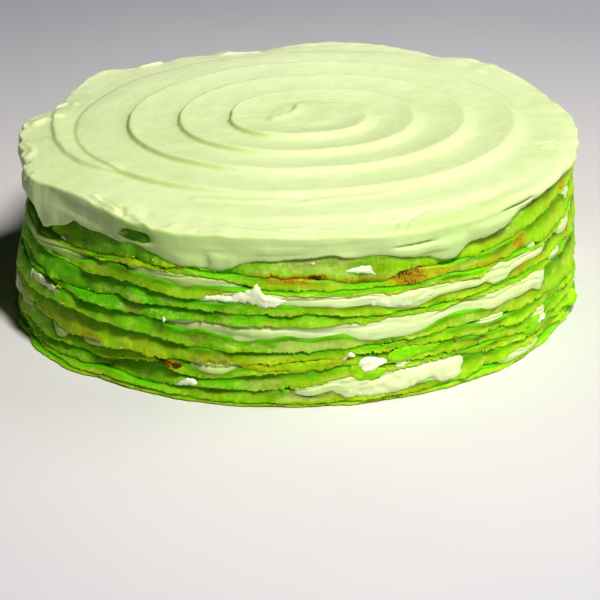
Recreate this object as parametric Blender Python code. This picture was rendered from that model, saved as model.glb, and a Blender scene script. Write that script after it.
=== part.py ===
"""A crepe cake: eleven green crepes with cream between them, under a thick cream topping.

Metres, +Z up, front at -Y. The origin is the middle of the flat base. An azimuth is in
degrees, 0 at the front and growing towards +X. Every layer is a section, a line of
(radius, height) points from the middle of its top to the middle of its underside, that
changes shape as it goes round the cake. All layers share the same sections' azimuths, so
that a layer and its neighbours keep their gap all the way round.
"""

import math
import random
from collections import namedtuple

import bmesh
import bpy

MM = 0.001

CAKE_RADIUS = 100 * MM
CREPE_THICKNESS = 1.6 * MM
LAYER_GAP = 0.3 * MM
DOME_RISE = 7 * MM  # how much the topping's middle stands over its rim

SHOULDER_IN = 2.0 * MM  # the bend of a crepe's edge, behind the hanging edge
LIP_OUT = 0.6 * MM  # how far the hanging edge stands out from the crepe's radius
FILLING_RECESS = 5.2 * MM  # filling that is pressed back behind the crepes' edges
STREAK_OUT = 0.7 * MM  # filling that is squeezed out, past the crepes' edges
LEAST_STEP = CREPE_THICKNESS + 1.1 * MM  # between the tops of two crepes
REST_GAP = 0.6 * MM  # between a hanging edge and the crepe under it

TOPPING_RIM = 59.3 * MM  # the crease between the topping's top and its side
TOPPING_OUT = 1.0 * MM
SPIRAL_MIDDLE = (4 * MM, 8 * MM)
SPIRAL_PITCH = 17.6 * MM  # outwards for each clockwise turn, seen from above
SPIRAL_DEPTH = 1.8 * MM
SPIRAL_FALL = 0.3  # the share of the pitch in which a crest falls off outwards

SIDES = 40
TOPPING_RINGS = 25

CREPE_COLOUR = (0.30, 0.58, 0.02, 1)
FILLING_COLOUR = (0.80, 0.90, 0.55, 1)
TOPPING_COLOUR = (0.72, 0.86, 0.38, 1)

# A rise or a fall of a crepe's edge: where, how wide, and by how many millimetres.
Swell = namedtuple("Swell", "azimuth width rise")
# Filling that shows between two crepes: from where to where, and how many millimetres high.
Streak = namedtuple("Streak", "start end height")
# A stretch where the topping hangs down the side, and how many millimetres down.
Hang = namedtuple("Hang", "azimuth width drop")
# A stretch where the topping's rim stands out, or in when it is less than 0, in millimetres.
Lobe = namedtuple("Lobe", "azimuth width out")
# A crepe: its edge's height and radius in millimetres, and the swells of its front.
Crepe = namedtuple("Crepe", "height radius swells")

CREPES = (
    Crepe(1.7, 101.6, ()),
    Crepe(4.8, 101.6, (Swell(40, 14, 3.2),)),
    Crepe(9.3, 101.2, (Swell(-60, 20, -1.6), Swell(0, 10, 2.4), Swell(28, 16, 3.4))),
    Crepe(14.5, 100.9, (Swell(-60, 16, -3.0), Swell(-20, 9, -3.0), Swell(26, 16, 2.8))),
    Crepe(19.4, 100.7, (Swell(-42, 9, -0.8),)),
    Crepe(25.5, 100.3, (Swell(-62, 12, -2.5), Swell(-26, 15, 1.4), Swell(18, 12, -1.0))),
    Crepe(30.7, 100.0, (Swell(-62, 14, -2.3), Swell(-20, 14, 2.6))),
    Crepe(35.2, 99.8, (Swell(-62, 16, -3.6), Swell(-10, 15, 2.2), Swell(20, 8, -2.4))),
    Crepe(42.0, 99.8, (Swell(-62, 13, -1.6), Swell(-38, 9, 2.0), Swell(0, 9, 2.6),
                       Swell(28, 13, -1.6))),
    Crepe(47.3, 99.6, (Swell(30, 15, -1.8),)),
    Crepe(53.2, 99.4, (Swell(40, 12, -1.2),)),
)

# The filling that shows at the front, one group for each layer of filling from the base up.
FRONT_STREAKS = (
    (Streak(38, 62, 3.0),),
    (Streak(3, 33, 7.0),),
    (Streak(8, 23, 2.2),),
    (Streak(-61, -42, 2.4), Streak(-24, -12, 2.6)),
    (Streak(32, 48, 1.7),),
    (Streak(-75, -54, 4.0), Streak(-28, 60, 4.2)),
    (Streak(57, 70, 2.5),),
    (Streak(-21, -2, 4.2), Streak(-4, 10, 2.8), Streak(8, 32, 5.0), Streak(34, 51, 3.6)),
    (Streak(-82, -35, 3.0), Streak(-40, -12, 4.2)),
    (Streak(60, 68, 2.0),),
)
BACK_STREAKS_PER_LAYER = 3
BACK_START, BACK_END = 84, 276

HANGS = (
    Hang(-68, 13, 4.5),
    Hang(-22, 9, 5.0),
    Hang(31, 5, 6.0),
    Hang(44, 7, 2.6),
    Hang(96, 12, 3.2),
    Hang(134, 9, 5.2),
    Hang(176, 14, 3.0),
    Hang(214, 8, 5.6),
    Hang(250, 12, 3.4),
)

LOBES = (
    Lobe(-66, 8, 1.2),
    Lobe(60, 14, 1.0),
    Lobe(140, 7, 4.2),
    Lobe(171, 12, 3.2),
    Lobe(221, 6, 4.6),
    Lobe(248, 6, -3.2),
)


def smooth(share):
    """0 below 0, 1 above 1, and an S between them."""
    share = min(max(share, 0.0), 1.0)
    return share * share * (3 - 2 * share)


def turn_between(azimuth, other):
    """How far azimuth is past other, from -180 to 180 degrees."""
    return (azimuth - other + 180) % 360 - 180


def hump(azimuth, middle, width):
    return math.exp(-((turn_between(azimuth, middle) / width) ** 2))


def plateau(azimuth, start, end):
    """1 between start and end, falling smoothly to 0 at both of them."""
    half = (end - start) / 2
    off = abs(turn_between(azimuth, (start + end) / 2))
    return smooth((half - off) / min(half, 6))


def wave(seed, azimuth, height):
    """A fixed uneven wave round the cake that never goes past height either way."""
    chance = random.Random(seed)
    total = 0.0
    for turns in range(2, 9):
        phase = chance.uniform(0, math.tau)
        total += math.sin(turns * math.radians(azimuth) + phase) * chance.uniform(0.3, 1)
    return height * math.tanh(total / 2)


def away_from_front(azimuth):
    """0 where the swells set the layers' course, 1 where the uneven waves do."""
    return smooth((abs(turn_between(azimuth, 0)) - 65) / 25)


def back_streaks(layer):
    chance = random.Random(40 + layer)
    room = (BACK_END - BACK_START) / BACK_STREAKS_PER_LAYER
    streaks = []
    for i in range(BACK_STREAKS_PER_LAYER):
        start = BACK_START + i * room + chance.uniform(2, room * 0.4)
        length = chance.uniform(0.3, 0.55) * room
        streaks.append(Streak(start, start + length, chance.uniform(1.8, 4.2)))
    return streaks


TOP_CREPES = range(len(CREPES) - 3, len(CREPES))  # the ones the topping may hang over
STREAKS = [list(front) + back_streaks(i) for i, front in enumerate(FRONT_STREAKS)]


def streak_height(filling, azimuth):
    """How high the filling that shows is at this azimuth, in metres."""
    return max(s.height * plateau(azimuth, s.start, s.end) for s in STREAKS[filling]) * MM


def edge_radius(crepe, azimuth):
    shape = CREPES[crepe]
    low_left = 2.0 * hump(azimuth, -62, 22) * max(0, 1 - crepe / 5)
    return (shape.radius + low_left) * MM + wave(70 + crepe, azimuth, 0.7 * MM)


def edges(azimuth):
    """[(height of the edge's top, height of its hanging end)] of the crepes, base up."""
    found = [(CREPES[0].height * MM, 0.0)]
    loose = 0.15 + away_from_front(azimuth)
    for i, shape in enumerate(CREPES[1:], start=1):
        below = found[-1][0]
        end = below + max(REST_GAP, streak_height(i - 1, azimuth))
        top = shape.height + sum(s.rise * hump(azimuth, s.azimuth, s.width)
                                 for s in shape.swells)
        top = top * MM + wave(10 + i, azimuth, 1.3 * MM * loose)
        found.append((max(top, below + LEAST_STEP, end + CREPE_THICKNESS), end))
    return found


def inner_heights():
    """Each crepe's top at the middle of the cake, evenly spaced up to the dome."""
    top = (CREPES[-1].height * MM) + DOME_RISE
    first = CREPES[0].height * MM
    step = (top - first) / (len(CREPES) - 1)
    return [first + i * step for i in range(len(CREPES))]


MIDDLE = inner_heights()


def crepe_section(crepe, azimuth):
    top, end = edges(azimuth)[crepe]
    radius = edge_radius(crepe, azimuth)
    middle = MIDDLE[crepe]
    under, under_middle = top - CREPE_THICKNESS, middle - CREPE_THICKNESS
    if crepe == 0:
        under = under_middle = 0.0
    tip = min(0.25 * MM, (top - end) / 3)
    return [
        (0.0, middle),
        (radius - SHOULDER_IN, top - 0.2 * MM),
        (radius + LIP_OUT, end + tip),
        (radius - 0.5 * MM, end),
        (radius - FILLING_RECESS + LAYER_GAP, under),
        (0.0, under_middle),
    ]


def filling_section(filling, azimuth):
    """The filling that lies on crepe number filling, under the next one up."""
    found = edges(azimuth)
    floor = found[filling][0] + LAYER_GAP
    roof = found[filling + 1][0] - CREPE_THICKNESS - LAYER_GAP
    lip = max(found[filling + 1][1] - LAYER_GAP, floor + 0.2 * MM)
    over = edge_radius(filling + 1, azimuth)
    least = min(edge_radius(filling, azimuth), over)
    behind = least - FILLING_RECESS
    out = smooth((streak_height(filling, azimuth) - 1.0 * MM) / (0.8 * MM))
    front = behind + out * (FILLING_RECESS + STREAK_OUT)
    tip = behind + out * (over - 1.0 * MM - behind)
    return [
        (0.0, MIDDLE[filling + 1] - CREPE_THICKNESS - LAYER_GAP),
        (behind - 0.1 * MM, roof),
        (min(tip, front), lip),
        (front, lip),
        (front, floor),
        (0.0, MIDDLE[filling] + LAYER_GAP),
    ]


def spiral_relief(x, y):
    """Height of the spiral that a palette knife leaves: slow rises, steep outer falls."""
    dx, dy = x - SPIRAL_MIDDLE[0], y - SPIRAL_MIDDLE[1]
    radius = math.hypot(dx, dy)
    turns = radius / SPIRAL_PITCH + math.atan2(dy, dx) / math.tau
    across = turns - math.floor(turns)
    if across < SPIRAL_FALL:
        height = 1 - smooth(across / SPIRAL_FALL)
    else:
        height = ((across - SPIRAL_FALL) / (1 - SPIRAL_FALL)) ** 1.5
    inner = smooth(radius / SPIRAL_PITCH)
    outer = smooth((CAKE_RADIUS - math.hypot(x, y)) / (15 * MM))
    return SPIRAL_DEPTH * (height - 0.4) * inner * outer


def hanging_end(azimuth):
    """Height of the topping's lower edge."""
    top = edges(azimuth)[-1][0]
    drop = max(h.drop * hump(azimuth, h.azimuth, h.width) for h in HANGS)
    return top + 0.9 * MM - drop * MM + wave(91, azimuth, 0.3 * MM)


def rim_radius(azimuth):
    lobes = sum(lobe.out * hump(azimuth, lobe.azimuth, lobe.width) for lobe in LOBES)
    return CAKE_RADIUS + lobes * MM + wave(92, azimuth, 0.8 * MM)


def topping_section(azimuth):
    seat = edges(azimuth)[-1][0] + LAYER_GAP
    widest = max(edge_radius(i, azimuth) for i in TOP_CREPES)
    rim = rim_radius(azimuth)
    angle = math.radians(azimuth - 90)
    section = []
    for i in range(TOPPING_RINGS):
        radius = (rim - 2.5 * MM) * i / (TOPPING_RINGS - 1)
        dome = DOME_RISE * (1 - (radius / CAKE_RADIUS) ** 2)
        relief = spiral_relief(radius * math.cos(angle), radius * math.sin(angle))
        section.append((radius, TOPPING_RIM + dome + relief))
    end = hanging_end(azimuth)
    outside = max(rim + TOPPING_OUT, widest + LIP_OUT + 1.4 * MM)
    inside = widest + LIP_OUT + LAYER_GAP
    section += [
        (rim + 0.4 * MM, TOPPING_RIM - 1.0 * MM),
        (outside, (TOPPING_RIM + end) / 2),
        (outside, end),
        (inside, end),
        (inside, max(end, seat)),
        (0.0, MIDDLE[-1] + LAYER_GAP),
    ]
    return section


def finish(name, colour, roughness):
    material = bpy.data.materials.new(name)
    material.use_nodes = True
    shader = material.node_tree.nodes["Principled BSDF"]
    shader.inputs["Base Color"].default_value = colour
    shader.inputs["Roughness"].default_value = roughness
    shader.inputs["Metallic"].default_value = 0.0
    return material


def add_layer(name, section_at, outermost, material, collection):
    """A closed solid from a grid that is rolled round the cake, one column a section.

    The faces over and under the outermost row are split along matching diagonals, so
    that the top of a layer and the underside of the next one stay apart.
    """
    sections = [section_at(360 * i / SIDES) for i in range(SIDES)]
    rows = len(sections[0]) - 1
    grid = bmesh.new()
    bmesh.ops.create_grid(grid, x_segments=SIDES, y_segments=rows, size=0.5)
    outer_row = outermost / rows - 0.5
    for below, method in ((True, "FIXED"), (False, "ALTERNATE")):
        faces = [f for f in grid.faces
                 if len(f.verts) == 4 and (f.calc_center_median().y < outer_row) == below]
        bmesh.ops.triangulate(grid, faces=faces, quad_method=method)
    for vertex in grid.verts:
        column = round((vertex.co.x + 0.5) * SIDES) % SIDES
        row = round((vertex.co.y + 0.5) * rows)
        radius, height = sections[column][row]
        angle = math.tau * column / SIDES
        vertex.co = (radius * math.sin(angle), -radius * math.cos(angle), height)
    bmesh.ops.remove_doubles(grid, verts=grid.verts, dist=0.01 * MM)
    bmesh.ops.recalc_face_normals(grid, faces=grid.faces)
    mesh = bpy.data.meshes.new(name)
    grid.to_mesh(mesh)
    grid.free()
    mesh.materials.append(material)
    mesh.shade_smooth()
    layer = bpy.data.objects.new(name, mesh)
    collection.objects.link(layer)


def main():
    for obj in list(bpy.data.objects):
        bpy.data.objects.remove(obj, do_unlink=True)
    cake = bpy.data.collections.new("crepe_cake")
    bpy.context.scene.collection.children.link(cake)

    crepe = finish("crepe", CREPE_COLOUR, 0.6)
    filling = finish("filling", FILLING_COLOUR, 0.35)
    topping = finish("topping", TOPPING_COLOUR, 0.4)

    for i in range(len(CREPES)):
        add_layer(f"crepe_{i + 1:02d}", lambda a, i=i: crepe_section(i, a), 2, crepe, cake)
    for i in range(len(CREPES) - 1):
        add_layer(f"filling_{i + 1:02d}", lambda a, i=i: filling_section(i, a), 3,
                  filling, cake)
    add_layer("topping", topping_section, TOPPING_RINGS + 2, topping, cake)


main()
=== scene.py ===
"""The looks of a crepe cake: green crepes, pale cream between them and a spiral cream top.

Every layer is drawn as sections, lines of (radius, height) points from the middle of its
top to the middle of its underside, that change shape as they go round the cake. Azimuths
are in degrees, 0 at the front and growing towards +X. Lengths in the design are in
millimetres, and become metres when a mesh is made.
"""

import logging
import math
from dataclasses import dataclass, field
from enum import Enum

import bmesh
import bpy
import numpy as np
from mathutils import Matrix, Vector


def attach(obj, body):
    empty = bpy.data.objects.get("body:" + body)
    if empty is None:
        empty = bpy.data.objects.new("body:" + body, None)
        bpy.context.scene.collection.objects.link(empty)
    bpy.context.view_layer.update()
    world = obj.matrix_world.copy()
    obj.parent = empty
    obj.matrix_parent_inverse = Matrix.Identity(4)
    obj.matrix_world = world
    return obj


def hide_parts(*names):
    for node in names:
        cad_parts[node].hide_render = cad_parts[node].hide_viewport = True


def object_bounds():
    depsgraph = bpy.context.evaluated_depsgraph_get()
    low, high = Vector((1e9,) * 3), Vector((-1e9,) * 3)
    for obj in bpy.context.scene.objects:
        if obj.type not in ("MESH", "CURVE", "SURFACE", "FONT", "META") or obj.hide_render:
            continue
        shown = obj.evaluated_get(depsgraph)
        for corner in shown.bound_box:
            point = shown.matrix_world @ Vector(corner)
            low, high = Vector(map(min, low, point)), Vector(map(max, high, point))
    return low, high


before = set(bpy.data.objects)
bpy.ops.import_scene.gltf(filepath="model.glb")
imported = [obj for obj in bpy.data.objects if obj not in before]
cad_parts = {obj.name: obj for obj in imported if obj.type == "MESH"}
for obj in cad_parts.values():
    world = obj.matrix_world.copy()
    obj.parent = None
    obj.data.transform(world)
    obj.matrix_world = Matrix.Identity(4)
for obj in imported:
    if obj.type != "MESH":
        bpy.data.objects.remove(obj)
FRAME_BOX = [list(corner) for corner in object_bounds()]

log = logging.getLogger("crepe_cake")

MM = 0.001
CAKE_RADIUS = 100.0
BUMP_DEPTH = 0.6
STACK_COLUMNS = 1800
TOPPING_COLUMNS = 960
# The azimuths behind, between which streaks, browned patches and dabs are placed by chance.
REAR = (84.0, 276.0)


# ---------------------------------------------------------------- curves round the cake


def azimuths(columns: int) -> np.ndarray:
    """The azimuth of each column of a layer, in degrees from -180 up."""
    return np.arange(columns) * 360.0 / columns - 180.0


def turn_between(azimuth: np.ndarray, other: float) -> np.ndarray:
    """How far each azimuth is past other, from -180 to 180 degrees."""
    return (azimuth - other + 180.0) % 360.0 - 180.0


def smooth(share: np.ndarray) -> np.ndarray:
    """0 below 0, 1 above 1, and an S between them."""
    share = np.clip(share, 0.0, 1.0)
    return share * share * (3.0 - 2.0 * share)


def hump(azimuth: np.ndarray, middle: float, width: float) -> np.ndarray:
    """A bell of height 1 at middle, and of 0.37 at width degrees from it."""
    return np.exp(-((turn_between(azimuth, middle) / width) ** 2))


def plateau(azimuth: np.ndarray, start: float, end: float, ramp: float) -> np.ndarray:
    """1 between start and end, falling to 0 at both over ramp degrees.

    Args:
        azimuth: The columns' azimuths.
        start: Where it starts.
        end: Where it ends.
        ramp: How wide each slope is, inside of those.

    Returns:
        One share a column.
    """
    half = (end - start) / 2.0
    off = np.abs(turn_between(azimuth, start + half))
    return smooth((half - off) / min(ramp, half))


def blur(values: np.ndarray, degrees: float) -> np.ndarray:
    """Values round the cake with everything narrower than some degrees smoothed out.

    Args:
        values: One value a column, all the way round.
        degrees: The width of the bell they are averaged with.

    Returns:
        As many smoothed values.
    """
    turns = np.fft.rfftfreq(len(values), 1.0 / len(values))
    keep = np.exp(-0.5 * (turns * math.radians(degrees)) ** 2)
    return np.fft.irfft(np.fft.rfft(values) * keep, len(values))


def ripple(
    seed: int, azimuth: np.ndarray, shortest: float, longest: float, height: float
) -> np.ndarray:
    """A fixed uneven wave round the rim.

    Args:
        seed: Sets the wave's phases.
        azimuth: The columns' azimuths.
        shortest: Length of its shortest waves along the rim, in millimetres.
        longest: Length of its longest waves.
        height: Its root mean square height.

    Returns:
        One height a column, above and below 0.
    """
    chance = np.random.default_rng(seed)
    rim = math.tau * CAKE_RADIUS
    lengths = np.exp(chance.uniform(math.log(shortest), math.log(longest), 22))
    turns = np.maximum(1, np.round(rim / lengths))
    phases = chance.uniform(0.0, math.tau, 22)
    heights = np.sqrt(lengths) * chance.uniform(0.4, 1.0, 22)
    heights *= height * math.sqrt(2.0) / np.sqrt(np.sum(heights**2))
    return np.sin(np.radians(azimuth)[:, None] * turns + phases) @ heights


def nicks(
    seed: int, azimuth: np.ndarray, count: int, widest: float, deepest: float
) -> np.ndarray:
    """Small tears at chance places round an edge.

    Args:
        seed: Sets the places.
        azimuth: The columns' azimuths.
        count: How many tears.
        widest: Half width of the widest tear, in degrees.
        deepest: Depth of the deepest one.

    Returns:
        One depth a column, 0 where nothing is torn.
    """
    chance = np.random.default_rng(seed)
    depth = np.zeros_like(azimuth)
    for _ in range(count):
        place = chance.uniform(-180.0, 180.0)
        width = widest * chance.uniform(0.25, 1.0)
        deep = deepest * chance.uniform(0.2, 1.0)
        off = np.abs(turn_between(azimuth, place)) / width
        depth = np.maximum(depth, deep * np.clip(1.0 - off, 0.0, 1.0) ** 0.7)
    return depth


@dataclass(frozen=True)
class Course:
    """A measure that is set at a few azimuths and runs smoothly between them."""

    keys: tuple[tuple[float, float], ...]
    softness: float = 1.6

    def at(self, azimuth: np.ndarray) -> np.ndarray:
        """The measure at each azimuth."""
        places, values = zip(*self.keys)
        run = np.interp(azimuth, places, values, period=360.0)
        return blur(run, self.softness)


# ---------------------------------------------------------------------- node expressions


class Sock:
    """A node's output that takes part in Python expressions."""

    def __init__(self, graph: "Graph", socket: bpy.types.NodeSocket) -> None:
        """Wraps one output socket of a graph."""
        self.graph = graph
        self.socket = socket

    def _math(self, operation: str, *values: object) -> "Sock":
        """A Math node on these values."""
        sockets = dict(enumerate(values))
        return self.graph.node("ShaderNodeMath", {"operation": operation}, sockets)

    def __add__(self, other: object) -> "Sock":
        """self + other."""
        return self._math("ADD", self, other)

    __radd__ = __add__

    def __sub__(self, other: object) -> "Sock":
        """self - other."""
        return self._math("SUBTRACT", self, other)

    def __rsub__(self, other: object) -> "Sock":
        """other - self."""
        return self._math("SUBTRACT", other, self)

    def __mul__(self, other: object) -> "Sock":
        """self * other."""
        return self._math("MULTIPLY", self, other)

    __rmul__ = __mul__

    def __truediv__(self, other: object) -> "Sock":
        """self / other."""
        return self._math("DIVIDE", self, other)

    def __pow__(self, other: object) -> "Sock":
        """self ** other."""
        return self._math("POWER", self, other)

    def fract(self) -> "Sock":
        """The part after the point."""
        return self._math("FRACT", self)

    def most(self, other: object) -> "Sock":
        """The larger of two values."""
        return self._math("MAXIMUM", self, other)

    def below(self, other: object) -> "Sock":
        """1 where self is less than other, 0 elsewhere."""
        return self._math("LESS_THAN", self, other)

    def ramp(self, low: float, high: float) -> "Sock":
        """A smooth step from 0 at low to 1 at high."""
        return self.graph.node(
            "ShaderNodeMapRange",
            {"interpolation_type": "SMOOTHSTEP"},
            {"Value": self, "From Min": low, "From Max": high},
        )


class Graph:
    """A node tree that is built by calls, for materials and for geometry alike."""

    def __init__(self, tree: bpy.types.NodeTree) -> None:
        """Wraps a tree and clears it."""
        self.tree = tree
        tree.nodes.clear()

    def node(
        self,
        kind: str,
        settings: dict[str, object] | None = None,
        sockets: dict[object, object] | None = None,
        out: int | str = 0,
    ) -> Sock:
        """Adds a node.

        Args:
            kind: The node's type.
            settings: Its own settings, set before its sockets.
            sockets: Values or links of its inputs, by name or number.
            out: Which output comes back.

        Returns:
            That output, or the node's first one.
        """
        made = self.tree.nodes.new(kind)
        for name, value in (settings or {}).items():
            setattr(made, name, value)
        for name, value in (sockets or {}).items():
            self._feed(made.inputs[name], value)
        return Sock(self, made.outputs[out]) if len(made.outputs) else Sock(self, None)

    def _feed(self, target: bpy.types.NodeSocket, value: object) -> None:
        """Links a socket to an output, or sets its value."""
        if isinstance(value, Sock):
            self.tree.links.new(value.socket, target)
        else:
            target.default_value = value

    def noise(self, place: Sock, size: float, detail: float = 2.0, rough: float = 0.5) -> Sock:
        """Uneven values round 0.5.

        Args:
            place: Where they are read, in metres.
            size: Width of the largest lumps, in millimetres.
            detail: How many times finer lumps are added.
            rough: How strong the finer ones are.

        Returns:
            The value, mostly from 0.25 to 0.75.
        """
        sockets = {"Vector": place, "Scale": 1000.0 / size, "Detail": detail, "Roughness": rough}
        return self.node("ShaderNodeTexNoise", None, sockets, "Fac")

    def vector(self, operation: str, *values: object, out: int | str = 0) -> Sock:
        """A Vector Math node on these values; SCALE takes its factor as the second one."""
        names = (0, "Scale") if operation == "SCALE" else (0, 1)
        sockets = dict(zip(names, values))
        return self.node("ShaderNodeVectorMath", {"operation": operation}, sockets, out)

    def attribute(self, name: str) -> Sock:
        """A point attribute of the surface, in a material."""
        return self.node("ShaderNodeAttribute", {"attribute_name": name}, out="Fac")

    def part(self, place: Sock, axis: int) -> Sock:
        """One of a vector's parts, 0 for X, 1 for Y and 2 for Z."""
        return self.node("ShaderNodeSeparateXYZ", None, {0: place}, axis)

    def bump(self, lumps: Sock, strength: float) -> Sock:
        """A surface's normal over fine lumps."""
        sockets = {"Height": lumps, "Strength": strength, "Distance": BUMP_DEPTH * MM}
        return self.node("ShaderNodeBump", None, sockets)

    def surface(self, sockets: dict[str, object]) -> None:
        """Ends a material with a Principled BSDF that has these sockets."""
        shader = self.node("ShaderNodeBsdfPrincipled", None, sockets)
        self.node("ShaderNodeOutputMaterial", None, {"Surface": shader})

    def blend(self, share: object, first: object, second: object) -> Sock:
        """A colour between two others.

        Args:
            share: 0 for the first, 1 for the second.
            first: A colour or a link.
            second: A colour or a link.

        Returns:
            The mixed colour.
        """
        sockets = {0: share, 6: first, 7: second}
        return self.node("ShaderNodeMix", {"data_type": "RGBA"}, sockets, 2)


def new_material(name: str) -> tuple[bpy.types.Material, Graph]:
    """An empty material and the graph of its nodes."""
    material = bpy.data.materials.new(name)
    material.use_nodes = True
    return material, Graph(material.node_tree)


def srgb(red: int, green: int, blue: int) -> tuple[float, float, float, float]:
    """A linear colour from the usual 0 to 255 values."""
    shares = [c / 255.0 for c in (red, green, blue)]
    return (*(s / 12.92 if s <= 0.04045 else ((s + 0.055) / 1.055) ** 2.4 for s in shares), 1.0)


# ------------------------------------------------------------------------------ finishes


@dataclass(frozen=True)
class CrepeFinish:
    """Moist green batter, baked unevenly, with browned edges and spots.

    It reads the point attributes browned (how much a place is baked), creamy (how much
    cream is wiped over it), out_of_shade (0 at the shoulder, in painted shade under the hem
    above, 1 at the hem) and shaded (1 on the left side, turned from the key, where painted
    shade makes the batter a darker, purer green).
    """

    fresh: tuple = srgb(174, 240, 14)
    deep: tuple = srgb(144, 228, 6)
    # moist is painted shade: the darker green of a shoulder under the hem above.
    shoulder_shade: tuple = srgb(106, 196, 2)
    # lush is painted shade: the darker, purer green of the left side, turned from the key.
    left_shade_green: tuple = srgb(84, 206, 0)
    pale: tuple = srgb(194, 246, 92)
    film: tuple = srgb(192, 250, 112)
    golden: tuple = srgb(184, 192, 24)
    brown: tuple = srgb(178, 138, 16)
    dark: tuple = srgb(84, 60, 6)

    def material(self) -> bpy.types.Material:
        """Builds the material.

        Returns:
            The green crepes' material.
        """
        material, g = new_material("green_crepe")
        place = g.node("ShaderNodeTexCoord", out="Object")
        browned, creamy = g.attribute("browned"), g.attribute("creamy")
        out_of_shade, shaded = g.attribute("out_of_shade"), g.attribute("shaded")
        stretch = g.node("ShaderNodeMapping", None, {"Vector": place, "Scale": (1, 1, 2.2)})

        broad = g.noise(stretch, 26.0, 2.0)
        patches = g.noise(stretch, 7.0, 4.0, 0.6)
        grain = g.noise(place, 1.6, 4.0, 0.65)
        specks = g.noise(place, 0.55, 2.0, 0.6)

        tone = (broad * 0.6 + patches * 0.35 + grain * 0.5).ramp(0.5, 0.95)
        colour = g.blend(tone, self.deep, self.fresh)
        # Painted shade: the shoulder, which the hem above overhangs, is mixed towards moist.
        unshaded = (out_of_shade + (patches - 0.5) * 0.7).ramp(0.1, 0.7)
        colour = g.blend(unshaded, self.shoulder_shade, colour)
        # Painted shade: the left side, turned from the key, is mixed towards lush.
        colour = g.blend(shaded * 0.7, colour, self.left_shade_green)
        frost = (patches * 0.75 + grain * 0.45 + specks * 0.25 + out_of_shade * 0.1).ramp(0.74, 1.02)
        colour = g.blend(frost * unshaded * 0.65, colour, self.pale)
        smeared = creamy + (patches - 0.5) * 1.6 + (grain - 0.5) * 1.1
        colour = g.blend(smeared.ramp(0.3, 1.0) * creamy.ramp(0.02, 0.3) * 0.8, colour, self.film)

        baked = browned + (grain - 0.5) * 1.3 + (patches - 0.5) * 0.6 + (specks - 0.5) * 1.2
        worn = browned.ramp(0.02, 0.2)
        colour = g.blend(baked.ramp(0.25, 0.6) * worn * 0.75, colour, self.golden)
        colour = g.blend(baked.ramp(0.65, 0.95) * worn * 0.85, colour, self.brown)
        colour = g.blend(baked.ramp(1.0, 1.35) * worn, colour, self.dark)

        lumps = grain * 0.6 + specks * 0.25 + g.noise(stretch, 3.2, 3.0) * 0.6
        g.surface({
            "Base Color": colour,
            "Roughness": 0.48 + grain * 0.25 + browned * 0.1,
            "Normal": g.bump(lumps, 0.55),
            "Subsurface Weight": 0.85,
            "Subsurface Radius": (0.7, 1.0, 0.08),
            "Subsurface Scale": 0.005,
            "Specular IOR Level": 0.14,
        })
        return material


@dataclass(frozen=True)
class CreamFinish:
    """Whipped cream, tinted by the same green, with a soft sheen.

    It reads the point attribute steep: painted shade, 1 where the cream turns from the light,
    where the green of the stains is mixed in to darken it.
    """

    name: str
    light: tuple
    tint: tuple
    # Besides the cream's random green stains, this colour is its painted shade where steep asks.
    stain_and_shade: tuple = srgb(176, 214, 80)
    stain_share: float = 0.25
    brushed: float = 0.0
    distant: tuple = srgb(238, 248, 204)

    def _strokes(self, g: Graph, place: Sock) -> Sock:
        """Fine lines that a knife leaves as the cake turns under it.

        Args:
            g: The material's graph.
            place: Where they are read, in metres.

        Returns:
            Values round 0.5.
        """
        flat = g.vector("MULTIPLY", place, (1, 1, 0))
        away = g.vector("LENGTH", flat, out="Value")
        sockets = {"Vector": g.vector("NORMALIZE", flat), "Angle": away * 14.0}
        turned = g.node("ShaderNodeVectorRotate", {"rotation_type": "Z_AXIS"}, sockets)
        lift = g.node("ShaderNodeCombineXYZ", None, {"Z": away})
        drawn = g.vector("ADD", g.vector("SCALE", turned, 0.016), lift)
        return g.noise(drawn, 1.5, 4.0, 0.6)

    def material(self) -> bpy.types.Material:
        """Builds the material.

        Returns:
            This cream's material.
        """
        material, g = new_material(self.name)
        place = g.node("ShaderNodeTexCoord", out="Object")
        broad = g.noise(place, 34.0, 2.0)
        cloudy = g.noise(place, 6.0, 3.0)
        fine = g.noise(place, 0.9, 3.0, 0.6)
        tone = (broad * 0.6 + cloudy * 0.5 + fine * 0.15).ramp(0.4, 0.86)
        colour = g.blend(tone, self.tint, self.light)
        if self.brushed:
            behind = g.part(place, 1).ramp(-0.01, 0.1)
            colour = g.blend(behind * 0.6, colour, self.distant)
        # Random green stains, and painted shade where steep asks.
        stains_and_shade = (cloudy + fine * 0.4).ramp(0.78, 0.95) * self.stain_share
        colour = g.blend(stains_and_shade.most(g.attribute("shade_tint") * 0.6), colour, self.stain_and_shade)
        lumps = fine * 0.35 + g.noise(place, 2.6, 2.0) * 0.8
        if self.brushed:
            lumps = lumps + self._strokes(g, place) * self.brushed
        g.surface({
            "Base Color": colour,
            "Roughness": 0.4 + cloudy * 0.2,
            "Normal": g.bump(lumps, 0.2),
            "Subsurface Weight": 0.3,
            "Subsurface Radius": (1.0, 1.0, 0.55),
            "Subsurface Scale": 0.003,
            "Specular IOR Level": 0.4,
        })
        return material


class Cream(Enum):
    """The creams of the cake."""

    # Each cream's third colour serves both its random stains and its painted shade; the top has no
    # random stains, so there it is painted shade only.
    BETWEEN = CreamFinish(
        "cream_between", srgb(227, 238, 190), srgb(214, 230, 160), srgb(170, 204, 84), 0.15
    )
    ON_TOP = CreamFinish(
        "cream_on_top", srgb(217, 230, 177), srgb(210, 225, 165), srgb(150, 194, 60), 0.0, 1.1
    )
    LOOSE = CreamFinish(
        "cream_loose", srgb(238, 244, 212), srgb(228, 238, 192), stain_share=0.1
    )


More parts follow.
